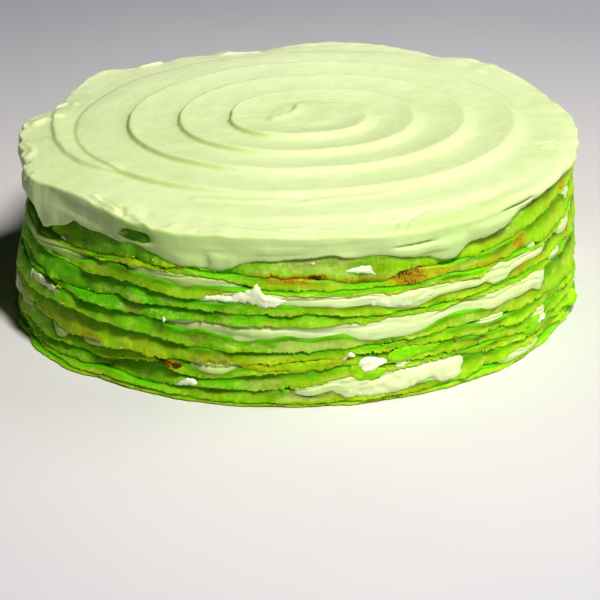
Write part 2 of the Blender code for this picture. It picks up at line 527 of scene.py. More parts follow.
@dataclass(frozen=True)
class FloorFinish:
    """A pale matt table top."""

    colour: tuple = srgb(217, 213, 211)
    # Further out the floor turns darker and bluer: partly the grey table and backdrop beyond the
    # board, partly painted shade where the lamps' light falls off.
    distant: tuple = srgb(178, 181, 188)

    def material(self) -> bpy.types.Material:
        """Builds the material.

        Returns:
            The floor's material.
        """
        material, g = new_material("pale_floor")
        place = g.node("ShaderNodeTexCoord", out="Object")
        away = g.vector("LENGTH", place, out="Value")
        tone = g.noise(place, 90.0, 3.0).ramp(0.3, 0.7) * 0.06
        colour = g.blend(away.ramp(0.12, 0.42) * 0.9 + tone, self.colour, self.distant)
        g.surface({"Base Color": colour, "Roughness": 0.6, "Specular IOR Level": 0.25})
        return material


# ------------------------------------------------------------------------- geometry trees


class Tree:
    """A geometry node tree with named inputs, which dresses a mesh and is then applied."""

    def __init__(self, name: str, inputs: dict[str, object]) -> None:
        """Makes the tree, its inputs and its ends.

        Args:
            name: The tree's name.
            inputs: Each input's name and its first value; a float, or None for a material.
        """
        self.tree = bpy.data.node_groups.new(name, "GeometryNodeTree")
        self.graph = Graph(self.tree)
        face = self.tree.interface
        face.new_socket("Geometry", in_out="INPUT", socket_type="NodeSocketGeometry")
        for key, value in inputs.items():
            kind = "NodeSocketMaterial" if value is None else "NodeSocketFloat"
            made = face.new_socket(key, in_out="INPUT", socket_type=kind)
            if value is not None:
                made.default_value = value
        face.new_socket("Geometry", in_out="OUTPUT", socket_type="NodeSocketGeometry")
        self.start = self.tree.nodes.new("NodeGroupInput")

    def value(self, name: str) -> Sock:
        """One of the tree's inputs."""
        return Sock(self.graph, self.start.outputs[name])

    def attribute(self, name: str) -> Sock:
        """A point attribute of the mesh, as a number."""
        settings = {"data_type": "FLOAT"}
        return self.graph.node("GeometryNodeInputNamedAttribute", settings, {"Name": name})

    def along_normal(self, geometry: Sock, height: Sock) -> Sock:
        """Moves each point out along its normal by a height."""
        g = self.graph
        offset = g.vector("SCALE", g.node("GeometryNodeInputNormal"), height)
        return g.node("GeometryNodeSetPosition", None, {"Geometry": geometry, "Offset": offset})

    def end(self, geometry: Sock) -> None:
        """Realizes what the tree made, gives it its material and ends the tree."""
        g = self.graph
        real = g.node("GeometryNodeRealizeInstances", None, {"Geometry": geometry})
        shaded = g.node("GeometryNodeSetShadeSmooth", None, {"Geometry": real})
        sockets = {"Geometry": shaded, "Material": self.value("Material")}
        dressed = g.node("GeometryNodeSetMaterial", None, sockets)
        g.node("NodeGroupOutput", None, {"Geometry": dressed})

    def apply(self, obj: bpy.types.Object, values: dict[str, object]) -> None:
        """Runs the tree on an object and keeps the result as its mesh.

        Args:
            obj: The object, whose mesh is replaced.
            values: The inputs to set, by name.
        """
        modifier = obj.modifiers.new(self.tree.name, "NODES")
        modifier.node_group = self.tree
        for item in self.tree.interface.items_tree:
            if item.in_out == "INPUT" and item.name in values:
                modifier[item.identifier] = values[item.name]
        graph = bpy.context.evaluated_depsgraph_get()
        made = bpy.data.meshes.new_from_object(
            obj.evaluated_get(graph), preserve_all_data_layers=True, depsgraph=graph
        )
        obj.modifiers.clear()
        old, obj.data = obj.data, made
        made.name = obj.name
        bpy.data.meshes.remove(old)


def relief_tree() -> Tree:
    """Uneven lumps over a surface.

    They follow its skin attribute, and its ragged attribute where it is torn.

    Returns:
        The tree, whose heights are inputs.
    """
    tree = Tree(
        "relief",
        {"Soft": 0.0, "Soft lumps per metre": 80.0, "Fine": 0.0, "Fine lumps per metre": 600.0,
         "Ragged": 0.0, "Flatten": 1.0, "Shift": 0.0, "Material": None},
    )
    g = tree.graph
    place = g.node("GeometryNodeInputPosition")
    shift = g.node("ShaderNodeCombineXYZ", None, {"X": tree.value("Shift")})
    squash = g.node("ShaderNodeCombineXYZ", None, {"X": 1.0, "Y": 1.0, "Z": tree.value("Flatten")})
    place = g.vector("ADD", g.vector("MULTIPLY", place, squash), shift)

    def lumps(scale: Sock, detail: float) -> Sock:
        """Noise of a given scale, from about -1 to 1."""
        sockets = {"Vector": place, "Scale": scale, "Detail": detail}
        return (g.node("ShaderNodeTexNoise", None, sockets, "Fac") - 0.5) * 2.0

    fine_lumps = lumps(tree.value("Fine lumps per metre"), 3.0)
    soft = lumps(tree.value("Soft lumps per metre"), 2.0) * tree.value("Soft")
    fine = fine_lumps * tree.value("Fine")
    torn = fine_lumps * tree.value("Ragged") * tree.attribute("ragged")
    height = (soft + fine) * tree.attribute("skin") + torn
    tree.end(tree.along_normal(tree.value("Geometry"), height))
    return tree


@dataclass(frozen=True)
class Relief:
    """How uneven a surface is: heights in millimetres, and how many lumps a metre."""

    soft: float
    soft_lumps: float
    fine: float
    fine_lumps: float
    ragged: float = 0.0
    flatten: float = 1.0

    def apply(self, tree: Tree, obj: bpy.types.Object, shift: float = 0.0) -> None:
        """Makes an object's surface uneven.

        Args:
            tree: The relief tree.
            obj: The object, whose material is kept.
            shift: Moves the lumps along, so that no two layers have the same ones.
        """
        tree.apply(obj, {
            "Soft": self.soft * MM,
            "Soft lumps per metre": self.soft_lumps,
            "Fine": self.fine * MM,
            "Fine lumps per metre": self.fine_lumps,
            "Ragged": self.ragged * MM,
            "Flatten": self.flatten,
            "Shift": shift,
            "Material": obj.data.materials[0],
        })


def spiral_tree() -> Tree:
    """The spiral that a palette knife leaves: slow rises outwards, then sharp falls.

    Returns:
        The tree, which also writes the steep attribute.
    """
    tree = Tree(
        "spiral",
        {"Middle X": 0.0, "Middle Y": 0.0, "Pitch": 0.02, "Depth": 0.001, "Fall": 0.25,
         "Wander": 0.002, "Oval": 0.0, "Reach": 0.1, "Material": None},
    )
    g = tree.graph
    place = g.node("GeometryNodeInputPosition")
    flat = g.vector("MULTIPLY", place, (1, 1, 0))
    x = g.part(place, 0) - tree.value("Middle X")
    y = g.part(place, 1) - tree.value("Middle Y")
    from_middle = (x * x + y * y) ** 0.5
    from_axis = g.vector("LENGTH", flat, out="Value")
    wander = (g.noise(flat, 55.0, 2.0) - 0.5) * 2.0 * tree.value("Wander")
    wander = wander + (g.noise(flat, 3.5, 3.0) - 0.5) * (tree.value("Wander") * 0.5)
    angle = g.node("ShaderNodeMath", {"operation": "ARCTAN2"}, {0: y, 1: x})
    oval = (x * x - y * y) / (from_middle * from_middle) * tree.value("Oval")
    sag = (1.0 - from_middle.ramp(0.015, 0.065)) * (y / from_middle * -1.0).most(0.0) * 0.5
    turns = (from_middle + wander) / tree.value("Pitch") + angle / math.tau - oval - sag + 0.235
    across = turns.fract()
    fall = tree.value("Fall") * (1.0 + x / from_middle * 0.62 - y / from_middle * 0.2)
    falling = across.below(fall)
    down = 1.0 - (across / fall).ramp(0.0, 1.0)
    up = ((across - fall).most(0.0) / (1.0 - fall)) ** 1.7
    crest = down * falling + up * (1.0 - falling)
    strength = (g.noise(flat, 48.0, 1.0) * 1.1 + 0.42) * tree.value("Depth")
    inner = (from_middle / tree.value("Pitch")).ramp(0.5, 0.85)
    outer = ((tree.value("Reach") - from_axis + x * 0.08) / tree.value("Reach")).ramp(0.04, 0.28)
    shown = inner * outer * tree.attribute("top")
    height = (crest - 0.35) * strength * shown
    offset = g.node("ShaderNodeCombineXYZ", None, {"Z": height})
    raised = {"Geometry": tree.value("Geometry"), "Offset": offset}
    raised = g.node("GeometryNodeSetPosition", None, raised)
    # Painted shade on the falls of the left side, turned from the key, and on the hanging side.
    leftward = (x / from_middle * -1.0).ramp(0.3, 0.95)
    shade_tint = down * (1.0 - down) * 4.0 * falling * shown * leftward
    shade_tint = shade_tint.most(tree.attribute("side") * 0.42)
    sockets = {"Geometry": raised, "Name": "shade_tint", "Value": shade_tint}
    tree.end(g.node("GeometryNodeStoreNamedAttribute", {"data_type": "FLOAT"}, sockets))
    return tree


def crumb_tree() -> Tree:
    """Crumbs of torn crepe over a strip of surface, as many as its crumbly attribute asks.

    Returns:
        The tree, which leaves only the crumbs.
    """
    tree = Tree(
        "crumb_scatter",
        {"Crumbs per square metre": 0.0, "Smallest": 0.0002, "Largest": 0.0006, "Seed": 0,
         "Material": None},
    )
    g = tree.graph
    density = tree.value("Crumbs per square metre") * tree.attribute("crumbly")
    sockets = {"Mesh": tree.value("Geometry"), "Density": density, "Seed": tree.value("Seed")}
    points = g.node("GeometryNodeDistributePointsOnFaces", None, sockets)
    grain = g.node("GeometryNodeMeshUVSphere", None, {"Segments": 7, "Rings": 5, "Radius": 1.0})

    def chance(low: object, high: object, seed: int) -> Sock:
        """A chance vector for each crumb."""
        settings = {"data_type": "FLOAT_VECTOR"}
        return g.node("FunctionNodeRandomValue", settings, {0: low, 1: high, "Seed": seed})

    smallest = g.node("ShaderNodeCombineXYZ", None, dict.fromkeys("XYZ", tree.value("Smallest")))
    largest = g.node("ShaderNodeCombineXYZ", None, dict.fromkeys("XYZ", tree.value("Largest")))
    sockets = {
        "Points": points,
        "Instance": grain,
        "Rotation": chance((0, 0, 0), (6.2, 6.2, 6.2), 3),
        "Scale": chance(smallest, largest, 4),
    }
    placed = g.node("GeometryNodeInstanceOnPoints", None, sockets)
    real = g.node("GeometryNodeRealizeInstances", None, {"Geometry": placed})
    place = g.node("GeometryNodeInputPosition")
    sockets = {"Vector": place, "Scale": 1600.0, "Detail": 1.0}
    lumps = (g.node("ShaderNodeTexNoise", None, sockets, "Fac") - 0.5) * tree.value("Largest")
    tree.end(tree.along_normal(real, lumps * 1.6))
    return tree


# --------------------------------------------------------------------------------- meshes


def between_rows(finer: np.ndarray, coarser: np.ndarray) -> np.ndarray:
    """Triangles between two rings of points whose counts differ by a whole factor.

    Args:
        finer: The point numbers of the ring with more points, or as many.
        coarser: Those of the other ring.

    Returns:
        (n, 3) point numbers, turned as finer, coarser, next.
    """
    step = len(finer) // len(coarser)
    half = step // 2
    here, beyond = coarser, np.roll(coarser, -1)
    made = []
    for i in range(step):
        first, second = finer[i::step], np.roll(finer, -1)[i::step]
        made.append(np.stack([first, here if i < half or step == 1 else beyond, second], axis=-1))
    middle = finer[half::step] if step > 1 else np.roll(finer, -1)
    made.append(np.stack([middle, here, beyond], axis=-1))
    return np.concatenate(made)


def add_object(name: str, data: bpy.types.ID) -> bpy.types.Object:
    """Puts a mesh, a lamp or a camera into the scene, at the origin."""
    obj = bpy.data.objects.new(name, data)
    bpy.context.scene.collection.objects.link(obj)
    return obj


def store(mesh: bpy.types.Mesh, notes: dict[str, np.ndarray | float]) -> None:
    """Stores point attributes on a mesh, each as one value a point or one for all.

    Args:
        mesh: The mesh.
        notes: The attributes' values, by name.
    """
    for key, values in notes.items():
        layer = mesh.attributes.new(key, "FLOAT", "POINT")
        every = np.broadcast_to(np.asarray(values, np.float32), len(mesh.vertices))
        layer.data.foreach_set("value", np.ascontiguousarray(every))


def wrap_sections(
    name: str,
    sections: np.ndarray,
    strides: list[int],
    notes: dict[str, np.ndarray],
    material: bpy.types.Material,
) -> bpy.types.Object:
    """A closed layer from the sections that it has round the cake.

    Args:
        name: The piece's name.
        sections: (rows, columns, 2) radii and heights in millimetres, the first row at
            the top's middle ring and the last at the underside's.
        strides: For each row, every how many columns it has a point.
        notes: Point attributes, (rows, columns) each.
        material: The piece's material.

    Returns:
        The layer's object, whose two open middles are closed by fans.
    """
    rows, columns, _ = sections.shape
    angle = np.radians(azimuths(columns))
    radius, height = sections[..., 0] * MM, sections[..., 1] * MM
    ring = np.stack([radius * np.sin(angle), -radius * np.cos(angle), height], axis=-1)
    kept = np.zeros((rows, columns), bool)
    for row, stride in enumerate(strides):
        kept[row, ::stride] = True
    number = np.cumsum(kept).reshape(rows, columns) - 1
    points = ring[kept]
    count = len(points)
    poles = np.array([[0.0, 0.0, height[0].mean()], [0.0, 0.0, height[-1].mean()]])
    points = np.concatenate([points, poles])

    faces = []
    for row in range(rows - 1):
        upper, lower = number[row][kept[row]], number[row + 1][kept[row + 1]]
        if len(upper) >= len(lower):
            faces.append(between_rows(upper, lower))
        else:
            faces.append(between_rows(lower, upper)[:, ::-1])
    first, last = number[0][kept[0]], number[-1][kept[-1]]
    faces.append(np.stack([np.full_like(first, count), first, np.roll(first, -1)], axis=-1))
    faces.append(np.stack([np.full_like(last, count + 1), np.roll(last, -1), last], axis=-1))

    corners = np.concatenate(faces)
    mesh = bpy.data.meshes.new(name)
    mesh.vertices.add(len(points))
    mesh.vertices.foreach_set("co", points.ravel().astype(np.float32))
    mesh.loops.add(corners.size)
    mesh.loops.foreach_set("vertex_index", corners.ravel().astype(np.int32))
    mesh.polygons.add(len(corners))
    mesh.polygons.foreach_set("loop_start", np.arange(0, corners.size, 3, dtype=np.int32))
    mesh.update(calc_edges=True)
    store(mesh, {
        key: np.append(values[kept], [values[0].mean(), values[-1].mean()])
        for key, values in notes.items()
    })
    mesh.materials.append(material)
    mesh.shade_smooth()
    return add_object(name, mesh)


# ----------------------------------------------------------------------------- the design


@dataclass(frozen=True)
class Streak:
    """Cream that shows between two crepes, or a tuck in a crepe's edge.

    It runs from start to end and fades out over ramp degrees. Stand is how far it stands
    out past the crepes.
    """

    start: float
    end: float
    height: float
    stand: float = 0.6
    ramp: float = 4.0


@dataclass(frozen=True)
class Patch:
    """A place on a crepe's hanging edge that is browned or creamy.

    It lies between low and high, of which 0 is the hem and 1 the shoulder.
    """

    azimuth: float
    width: float
    low: float
    high: float
    strength: float


@dataclass(frozen=True)
class Crepe:
    """One crepe's hanging edge, in millimetres and degrees.

    Radius is that of the hem, with left and right added at the two sides, and follow is
    how much it takes part in the rim's waves. Hem is the height's course at the front and
    rear its height behind. Patches are browned and films creamy, tears is how torn the
    edge is, tucks push it in, and lush is how strongly painted shade makes its left side,
    turned from the key, a darker and purer green.
    """

    radius: float
    rear: float
    hem: tuple[tuple[float, float], ...]
    patches: tuple[Patch, ...] = ()
    tears: float = 1.0
    films: tuple[Patch, ...] = ()
    left: float = 0.0
    right: float = -1.5
    follow: float = 0.0
    tucks: tuple[Streak, ...] = ()
    left_shade_green: float = 0.3

    def course(self, azimuth: np.ndarray) -> np.ndarray:
        """Height of the hem, before its small waves."""
        behind = ((-150.0, self.rear), (-108.0, self.rear), (108.0, self.rear), (150.0, self.rear))
        return Course(tuple(sorted(self.hem + behind))).at(azimuth)


RIM = Course((
    (-180, 99.8), (-176, 98.0), (-172, 97.4), (-166, 98.2), (-156, 96.8), (-148, 98.0),
    (-144, 96.6), (-140, 101.2), (-136, 104.2), (-132, 103.4), (-128, 100.5), (-124, 99.7),
    (-120, 98.2), (-116, 95.6), (-112, 95.9), (-108, 98.9), (-104, 101.6), (-100, 100.9),
    (-96, 100.0), (-90, 99.4), (-86, 98.3), (-80, 98.5), (-75, 99.4), (-71, 99.6),
    (-68, 98.2), (-65, 96.4), (-61, 94.4), (-56, 93.2), (-50, 93.2), (-45, 94.2),
    (-40, 95.8), (-36, 97.0), (-31, 98.2), (-26, 98.2), (-21, 97.4), (-17, 96.2),
    (-12, 96.0), (-4, 96.2), (3, 96.8), (8, 96.8), (14, 97.2), (22, 98.2), (30, 98.8),
    (40, 99.2), (50, 99.4), (60, 99.8), (70, 99.8), (80, 100.2), (88, 100.7), (96, 100.6),
    (101, 100.8), (105, 98.8), (109, 98.8), (113, 99.6), (120, 100.7), (128, 101.0),
    (132, 102.4), (137, 103.4), (141, 103.0), (144, 98.8), (149, 99.4), (155, 100.8),
    (160, 101.6), (164, 102.4), (169, 102.6), (173, 103.0), (176, 101.2),
), 1.2)


CREPES = (
    Crepe(101.3, 0.0, ((0, 0),), (Patch(0, 60, 0, 0.2, 0.6), Patch(180, 60, 0, 0.5, 0.5)),
          0.6, left=2.3, right=-2.4),
    Crepe(101.4, 2.6,
          ((-75, 1.5), (-58, 0.9), (-50, 0.8), (-44, 1.5), (-38, 1.9), (-29, 1.5), (-20, 0.9),
           (0, 0.7), (15, 0.9), (22, 1.1), (30, 1.6), (40, 3.8), (50, 4.3), (60, 3.4),
           (75, 2.2)),
          (Patch(22, 8, 0, 0.3, 0.5),), 0.9, (Patch(0, 8, 0.2, 1.0, 0.8),), 0.6, -2.5),
    Crepe(101.2, 6.6,
          ((-75, 2.6), (-62, 2.2), (-56, 3.1), (-51, 3.2), (-46, 4.1), (-41, 4.9), (-36, 3.9),
           (-31, 3.8), (-27, 4.6), (-22, 4.9), (-18, 6.2), (-10, 5.9), (0, 6.6),
           (5, 9.0), (10, 10.6), (20, 11.0), (30, 10.9), (34, 10.3), (40, 8.6), (50, 7.6),
           (60, 6.6), (75, 5.2)),
          (Patch(36, 3, 0, 0.3, 0.4),), 1.2,
          (Patch(-8, 9, 0, 0.6, 0.4), Patch(-70, 12, 0, 1, 0.4)), 0.8, -2.0,
          tucks=(Streak(-50, -24, 2.6, ramp=8.0),), left_shade_green=0.6),
    Crepe(100.9, 11.0,
          ((-75, 6.2), (-60, 6.4), (-53, 7.6), (-46, 7.3), (-43, 7.6), (-40, 8.6), (-37, 10.0),
           (-32, 11.6), (-29.6, 12.2), (-27.8, 11.5), (-26, 9.8), (-23, 8.8), (-20, 8.4),
           (-14, 9.4), (-10, 11.9), (0, 12.6), (8, 14.0), (17, 13.3), (30, 12.8), (40, 11.9),
           (50, 10.2), (60, 9.5), (75, 9.0)),
          (Patch(-34, 8, 0, 0.4, 0.35), Patch(-28.5, 3.4, 0.0, 1.0, 1.5), Patch(0, 10, 0, 0.2, 0.5),
           Patch(33, 12, 0, 0.12, 0.45)), 1.3,
          (Patch(42, 12, 0.1, 0.9, 0.4), Patch(-76, 12, 0, 1, 0.6)), 1.4, -1.8,
          tucks=(Streak(-54, -24, 2.2, ramp=9.0),)),
    Crepe(100.7, 15.8,
          ((-75, 14.0), (-66, 14.5), (-60, 13.3), (-57.7, 12.3), (-55, 11.4), (-52, 11.9),
           (-49, 13.1), (-46, 14.0), (-44, 14.1), (-42.6, 13.0), (-39, 12.8), (-35.6, 14.4),
           (-30, 13.7), (-20, 14.3), (-10, 15.2), (0, 16.2), (10, 17.4), (20, 18.1), (30, 17.6),
           (40, 15.4), (50, 14.3), (60, 14.0), (75, 13.2)),
          (Patch(-63, 5, 0, 0.12, 0.9), Patch(-48, 8, 0, 0.16, 0.75), Patch(-34, 9, 0, 0.2, 0.5),
           Patch(-17, 9, 0, 0.16, 0.7), Patch(0, 11, 0, 0.3, 0.5), Patch(20, 8, 0, 0.16, 0.4)),
          1.5, (Patch(30, 14, 0.2, 0.8, 0.4), Patch(-80, 9, 0, 1, 0.7)), 1.2, -1.8, left_shade_green=0.0),
    Crepe(100.3, 21.0,
          ((-75, 19.6), (-65, 19.8), (-60, 21.3), (-40, 21.5), (-30, 21.2), (-20, 19.6),
           (-10, 19.3), (0, 20.0), (20, 20.5), (30, 21.5), (40, 20.7), (50, 19.0), (60, 18.0),
           (68, 15.6), (76, 15.4)),
          (Patch(12, 6, 0, 0.1, 0.35),), 0.9,
          (Patch(2, 17, 0, 0.6, 0.85), Patch(35, 14, 0, 0.7, 0.6)), 2.2, -1.5, left_shade_green=0.6),
    Crepe(100.0, 26.2,
          ((-75, 26.8), (-60, 27.0), (-50, 26.4), (-40, 27.3), (-30, 27.9), (-20, 29.6),
           (0, 28.7), (10, 28.9), (30, 29.4), (40, 29.6), (50, 29.0), (60, 28.4), (75, 27.4)),
          (), 0.7, (Patch(-35, 12, 0, 0.5, 0.4), Patch(-90, 14, 0, 1, 0.6)), -0.6, -1.3, left_shade_green=1.0),
    Crepe(99.8, 31.2,
          ((-75, 29.6), (-60, 28.8), (-50, 29.7), (-40, 32.4), (-30, 32.8), (-20, 33.7),
           (-10, 33.1), (0, 33.2), (10, 31.9), (20, 30.8), (30, 30.9), (40, 31.3), (50, 30.8),
           (60, 31.2), (75, 30.0)),
          (Patch(50.5, 2.2, 0.1, 0.8, 0.7), Patch(56, 2.4, 0.2, 1.0, 0.75),
           Patch(73, 1.8, 0.1, 0.8, 0.9), Patch(28.5, 1.5, 0.4, 0.9, 0.4)), 0.6,
          (Patch(-38, 12, 0, 0.6, 0.5), Patch(-92, 14, 0, 1, 0.6)), -0.6, -1.1,
          tucks=(Streak(-58, -34, 1.8, ramp=9.0),), left_shade_green=0.9),
    Crepe(99.8, 36.6,
          ((-75, 35.0), (-60, 36.0), (-50, 36.6), (-40, 38.7), (-30, 38.0), (-20, 37.2),
           (-16, 40.3), (-9, 41.0), (-4, 40.4), (0, 40.2), (10, 38.9), (20, 38.0), (30, 37.6),
           (40, 38.0), (50, 38.3), (60, 37.2), (75, 39.6)),
          (Patch(-28, 5, 0, 0.3, 0.45), Patch(10, 14, 0, 0.12, 0.45), Patch(42, 5, 0, 1.0, 0.35)),
          0.7, (Patch(2, 9, 0.2, 0.9, 0.4), Patch(-72, 14, 0.0, 1.0, 0.45)), -2.4, -0.9, 0.5,
          left_shade_green=0.3),
    Crepe(98.8, 41.6,
          ((-80, 38.6), (-66, 39.4), (-56, 40.8), (-50, 42.0), (-44, 43.6), (-40, 44.6),
           (-30, 45.4), (-20, 46.3),
           (-14, 44.5), (-10, 42.7), (-4, 42.0), (0, 41.2), (10, 41.0), (30, 40.8), (40, 40.0),
           (50, 39.7), (60, 38.2), (70, 41.0), (78, 42.0)),
          (Patch(-33, 15, 0, 1.0, 0.45), Patch(-56, 12, 0, 1.0, 0.4), Patch(-2, 6, 0.5, 1.0, 0.9),
           Patch(22, 5.5, 0, 1.0, 1.1), Patch(29, 4, 0.1, 0.8, 0.8), Patch(40, 7, 0, 0.25, 0.85),
           Patch(50, 3, 0.0, 0.9, 0.9), Patch(2, 5, 0.1, 0.5, 0.45)), 0.7,
          (Patch(34, 8, 0, 0.9, 0.5), Patch(-45, 10, 0, 0.8, 0.3),
           Patch(-56, 5, 0.0, 1.0, 0.5)), -1.8, -0.2, 0.7, left_shade_green=0.4),
    Crepe(97.7, 46.8,
          ((-80, 41.6), (-66, 41.6), (-56, 42.6), (-50, 43.7), (-44, 45.2), (-40, 46.6),
           (-30, 48.0), (-20, 47.7),
           (-10, 47.1), (0, 46.9), (5, 45.7), (8, 44.4), (10, 43.5), (13, 42.6), (15.6, 42.4),
           (17.2, 43.6), (19, 45.5), (22, 46.3), (26, 45.7), (30, 45.0),
           (40, 45.2), (50, 46.2), (60, 48.9), (70, 50.0), (78, 50.0)),
          (Patch(-3, 10, 0, 0.03, 1.1), Patch(3, 3, 0, 0.08, 1.5), Patch(-26, 12, 0, 0.12, 0.45),
           Patch(-60, 8, 0.0, 0.4, 0.45), Patch(-43, 9, 0.0, 0.1, 0.45), Patch(12, 6, 0, 0.1, 0.9),
           Patch(69, 2.5, 0.2, 0.6, 0.9)),
          0.9,
          (Patch(3, 15, 0.06, 0.9, 0.8), Patch(-66, 6, 0, 1, 0.5), Patch(24, 8, 0.2, 0.9, 0.3),
           Patch(46, 9, 0.1, 1.0, 0.4)), -3.2, 0.9, 0.7, left_shade_green=0.9),
)

STREAKS = (
    (Streak(38, 60, 2.2, 0.4, 7.0),),
    (Streak(-5, 12, 2.0, 0.2, 7.0), Streak(5.5, 32, 6.6, 0.2, 2.6)),
    (Streak(16.5, 22.5, 1.8, 0.4),),
    (Streak(-62, -52, 3.4, 0.2, 5.0), Streak(-52, -41, 2.4, 0.1, 5.0),
     Streak(-25, -10, 3.8, 0.2, 7.0), Streak(52, 60.5, 4.2, 0.8, 3.5),
     Streak(-97, -66, 2.6, 0.6, 9.0)),
    (Streak(32, 49, 1.6, 0.2, 8.0),),
    (Streak(-100, -80, 3.0, 0.4, 8.0), Streak(-31, 60, 3.7, -0.7, 9.0),
     Streak(-18, 0, 4.6, -0.5, 6.0), Streak(3, 33, 6.0, 0.2, 9.0),
     Streak(36, 59.6, 4.5, 0.6, 5.0), Streak(51, 60.8, 5.9, 0.9, 4.6)),
    (Streak(59, 70, 3.2, 0.5, 5.0),),
    (Streak(-24, 26, 2.8, 0.2, 9.0), Streak(7, 36, 5.8, 0.2, 14.0),
     Streak(24, 64, 2.4, 0.3, 8.0), Streak(37.5, 48.5, 6.2, 0.4, 4.5),
     Streak(64, 78, 2.8, 0.5, 6.0)),
    (Streak(-96, -45, 3.3, 1.0, 14.0), Streak(-43, -6, 3.6, 0.1, 17.0),
     Streak(51, 58, 1.6, 0.2, 4.0)),
    (Streak(69, 76, 4.0, 0.3, 4.0),),
)


@dataclass
class Stack:
    """The crepes' edges and the cream between them, worked out round the cake."""

    columns: int = STACK_COLUMNS
    gap: float = 0.12
    least_lip: float = 0.9
    thickness: float = 1.0
    lean: float = 2.4
    base_top: float = 1.7
    layer_rise: float = 5.85
    inner_rings: tuple[float, float] = (20.0, 85.0)
    crepe_ring: float = 95.0
    filling_ring: float = 93.0
    filling_depth: float = 4.5
    rear_streaks: int = 4
    rear_patches: int = 7
    tear_count: int = 26
    crepe_relief: Relief = Relief(0.6, 90.0, 0.1, 900.0, ragged=0.24, flatten=2.0)
    filling_relief: Relief = Relief(0.9, 60.0, 0.25, 170.0, flatten=4.0)
    azimuth: np.ndarray = field(init=False)
    hems: list[np.ndarray] = field(init=False)
    torn: list[np.ndarray] = field(init=False)
    shoulders: list[np.ndarray] = field(init=False)
    radii: list[np.ndarray] = field(init=False)
    cream: list[np.ndarray] = field(init=False)
    stand: list[np.ndarray] = field(init=False)

    def __post_init__(self) -> None:
        """Works out every course from the base up."""
        self.azimuth = azimuths(self.columns)
        self.cream, self.stand = self._streaks()
        self.radii = [self._radius(i) for i in range(len(CREPES))]
        self.hems, self.torn = self._hems()
        self.shoulders = [
            self.hems[i + 1] - self.gap - self.cream[i] for i in range(len(CREPES) - 1)
        ]

    def _streaks(self) -> tuple[list[np.ndarray], list[np.ndarray]]:
        """The cream that shows, layer by layer.

        Returns:
            How high it is, and how far it stands out, one value a column.
        """
        heights, stands = [], []
        for layer, front in enumerate(STREAKS):
            chance = np.random.default_rng(300 + layer)
            start, end = REAR
            every = list(front)
            room = (end - start) / self.rear_streaks
            for i in range(self.rear_streaks):
                first = start + i * room + chance.uniform(0.0, room * 0.45)
                length = room * chance.uniform(0.2, 0.8)
                tall = chance.uniform(1.4, 4.6)
                every.append(Streak(first, first + length, tall, chance.uniform(0.1, 1.3)))
            height = np.zeros(self.columns)
            stand = np.full(self.columns, -1.0)
            for s in every:
                shape = plateau(self.azimuth, s.start, s.end, s.ramp)
                height = np.maximum(height, s.height * shape)
                stand = np.maximum(stand, (s.stand + 1.0) * shape - 1.0)
            uneven = ripple(320 + layer, self.azimuth, 14.0, 70.0, 0.1)
            heights.append(np.clip(blur(height, 0.5), 0.0, None) * (1.0 + uneven))
            stands.append(blur(stand, 0.8))
        return heights, stands

    def _hems(self) -> tuple[list[np.ndarray], list[np.ndarray]]:
        """The hems' heights, from the base up.

        Returns:
            Smooth hems, on which the other layers are set, and torn ones to draw.
        """
        hems = [np.zeros(self.columns)]
        torn = [np.zeros(self.columns)]
        rear = smooth((np.abs(self.azimuth) - 70.0) / 25.0)
        for i, crepe in enumerate(CREPES[1:], start=1):
            slow = ripple(100 + i, self.azimuth, 60.0, 300.0, 1.2) * rear
            quick = ripple(130 + i, self.azimuth, 9.0, 40.0, 0.22)
            behind = (self.radii[i] - CAKE_RADIUS) * 0.42 * np.cos(np.radians(self.azimuth))
            hem = crepe.course(self.azimuth) + slow + quick + np.minimum(behind, 0.0) * (1.0 - rear)
            floor = hems[-1] + self.least_lip + self.gap + self.cream[i - 1]
            hem = floor + np.logaddexp(0.0, (hem - floor) * 3.0) / 3.0
            hems.append(hem)
            patchy = np.clip(0.8 + ripple(150 + i, self.azimuth, 14.0, 60.0, 0.7), 0.1, 2.0)
            fray = ripple(160 + i, self.azimuth, 2.0, 9.0, 0.13) * patchy
            fine = ripple(175 + i, self.azimuth, 0.8, 1.8, 0.08 * crepe.tears) * patchy
            tears = nicks(190 + i, self.azimuth, self.tear_count, 0.45, 0.6 * crepe.tears)
            tags = nicks(220 + i, self.azimuth, self.tear_count, 0.4, 0.5 * crepe.tears)
            torn.append(hem + fray + fine + tears - np.minimum(tags, 0.5 * self.least_lip))
        return hems, torn

    def _radius(self, i: int) -> np.ndarray:
        """The radius of a crepe's hem.

        Args:
            i: Which crepe, from 0 at the base.

        Returns:
            One radius a column.
        """
        slow = ripple(400 + i, self.azimuth, 50.0, 250.0, 0.45)
        quick = ripple(430 + i, self.azimuth, 8.0, 30.0, 0.16)
        front = smooth((118.0 - np.abs(self.azimuth)) / 60.0)
        foot = 2.2 * plateau(self.azimuth, -72.0, -42.0, 9.0) * max(0.0, 1.0 - i / 2.5)
        sides = CREPES[i].left * plateau(self.azimuth, -135.0, -40.0, 42.0)
        sides = sides + CREPES[i].right * plateau(self.azimuth, 38.0, 140.0, 34.0)
        followed = CREPES[i].follow * np.minimum(RIM.at(self.azimuth) - 98.0, 0.2)
        radius = CREPES[i].radius + followed + slow * (1.0 - 0.8 * front)
        for tuck in CREPES[i].tucks:
            radius = radius - tuck.height * plateau(self.azimuth, tuck.start, tuck.end, tuck.ramp)
        return radius + quick + foot + sides

    def middle(self, i: int) -> float:
        """Height of a crepe's top at the cake's middle."""
        return self.base_top + i * self.layer_rise

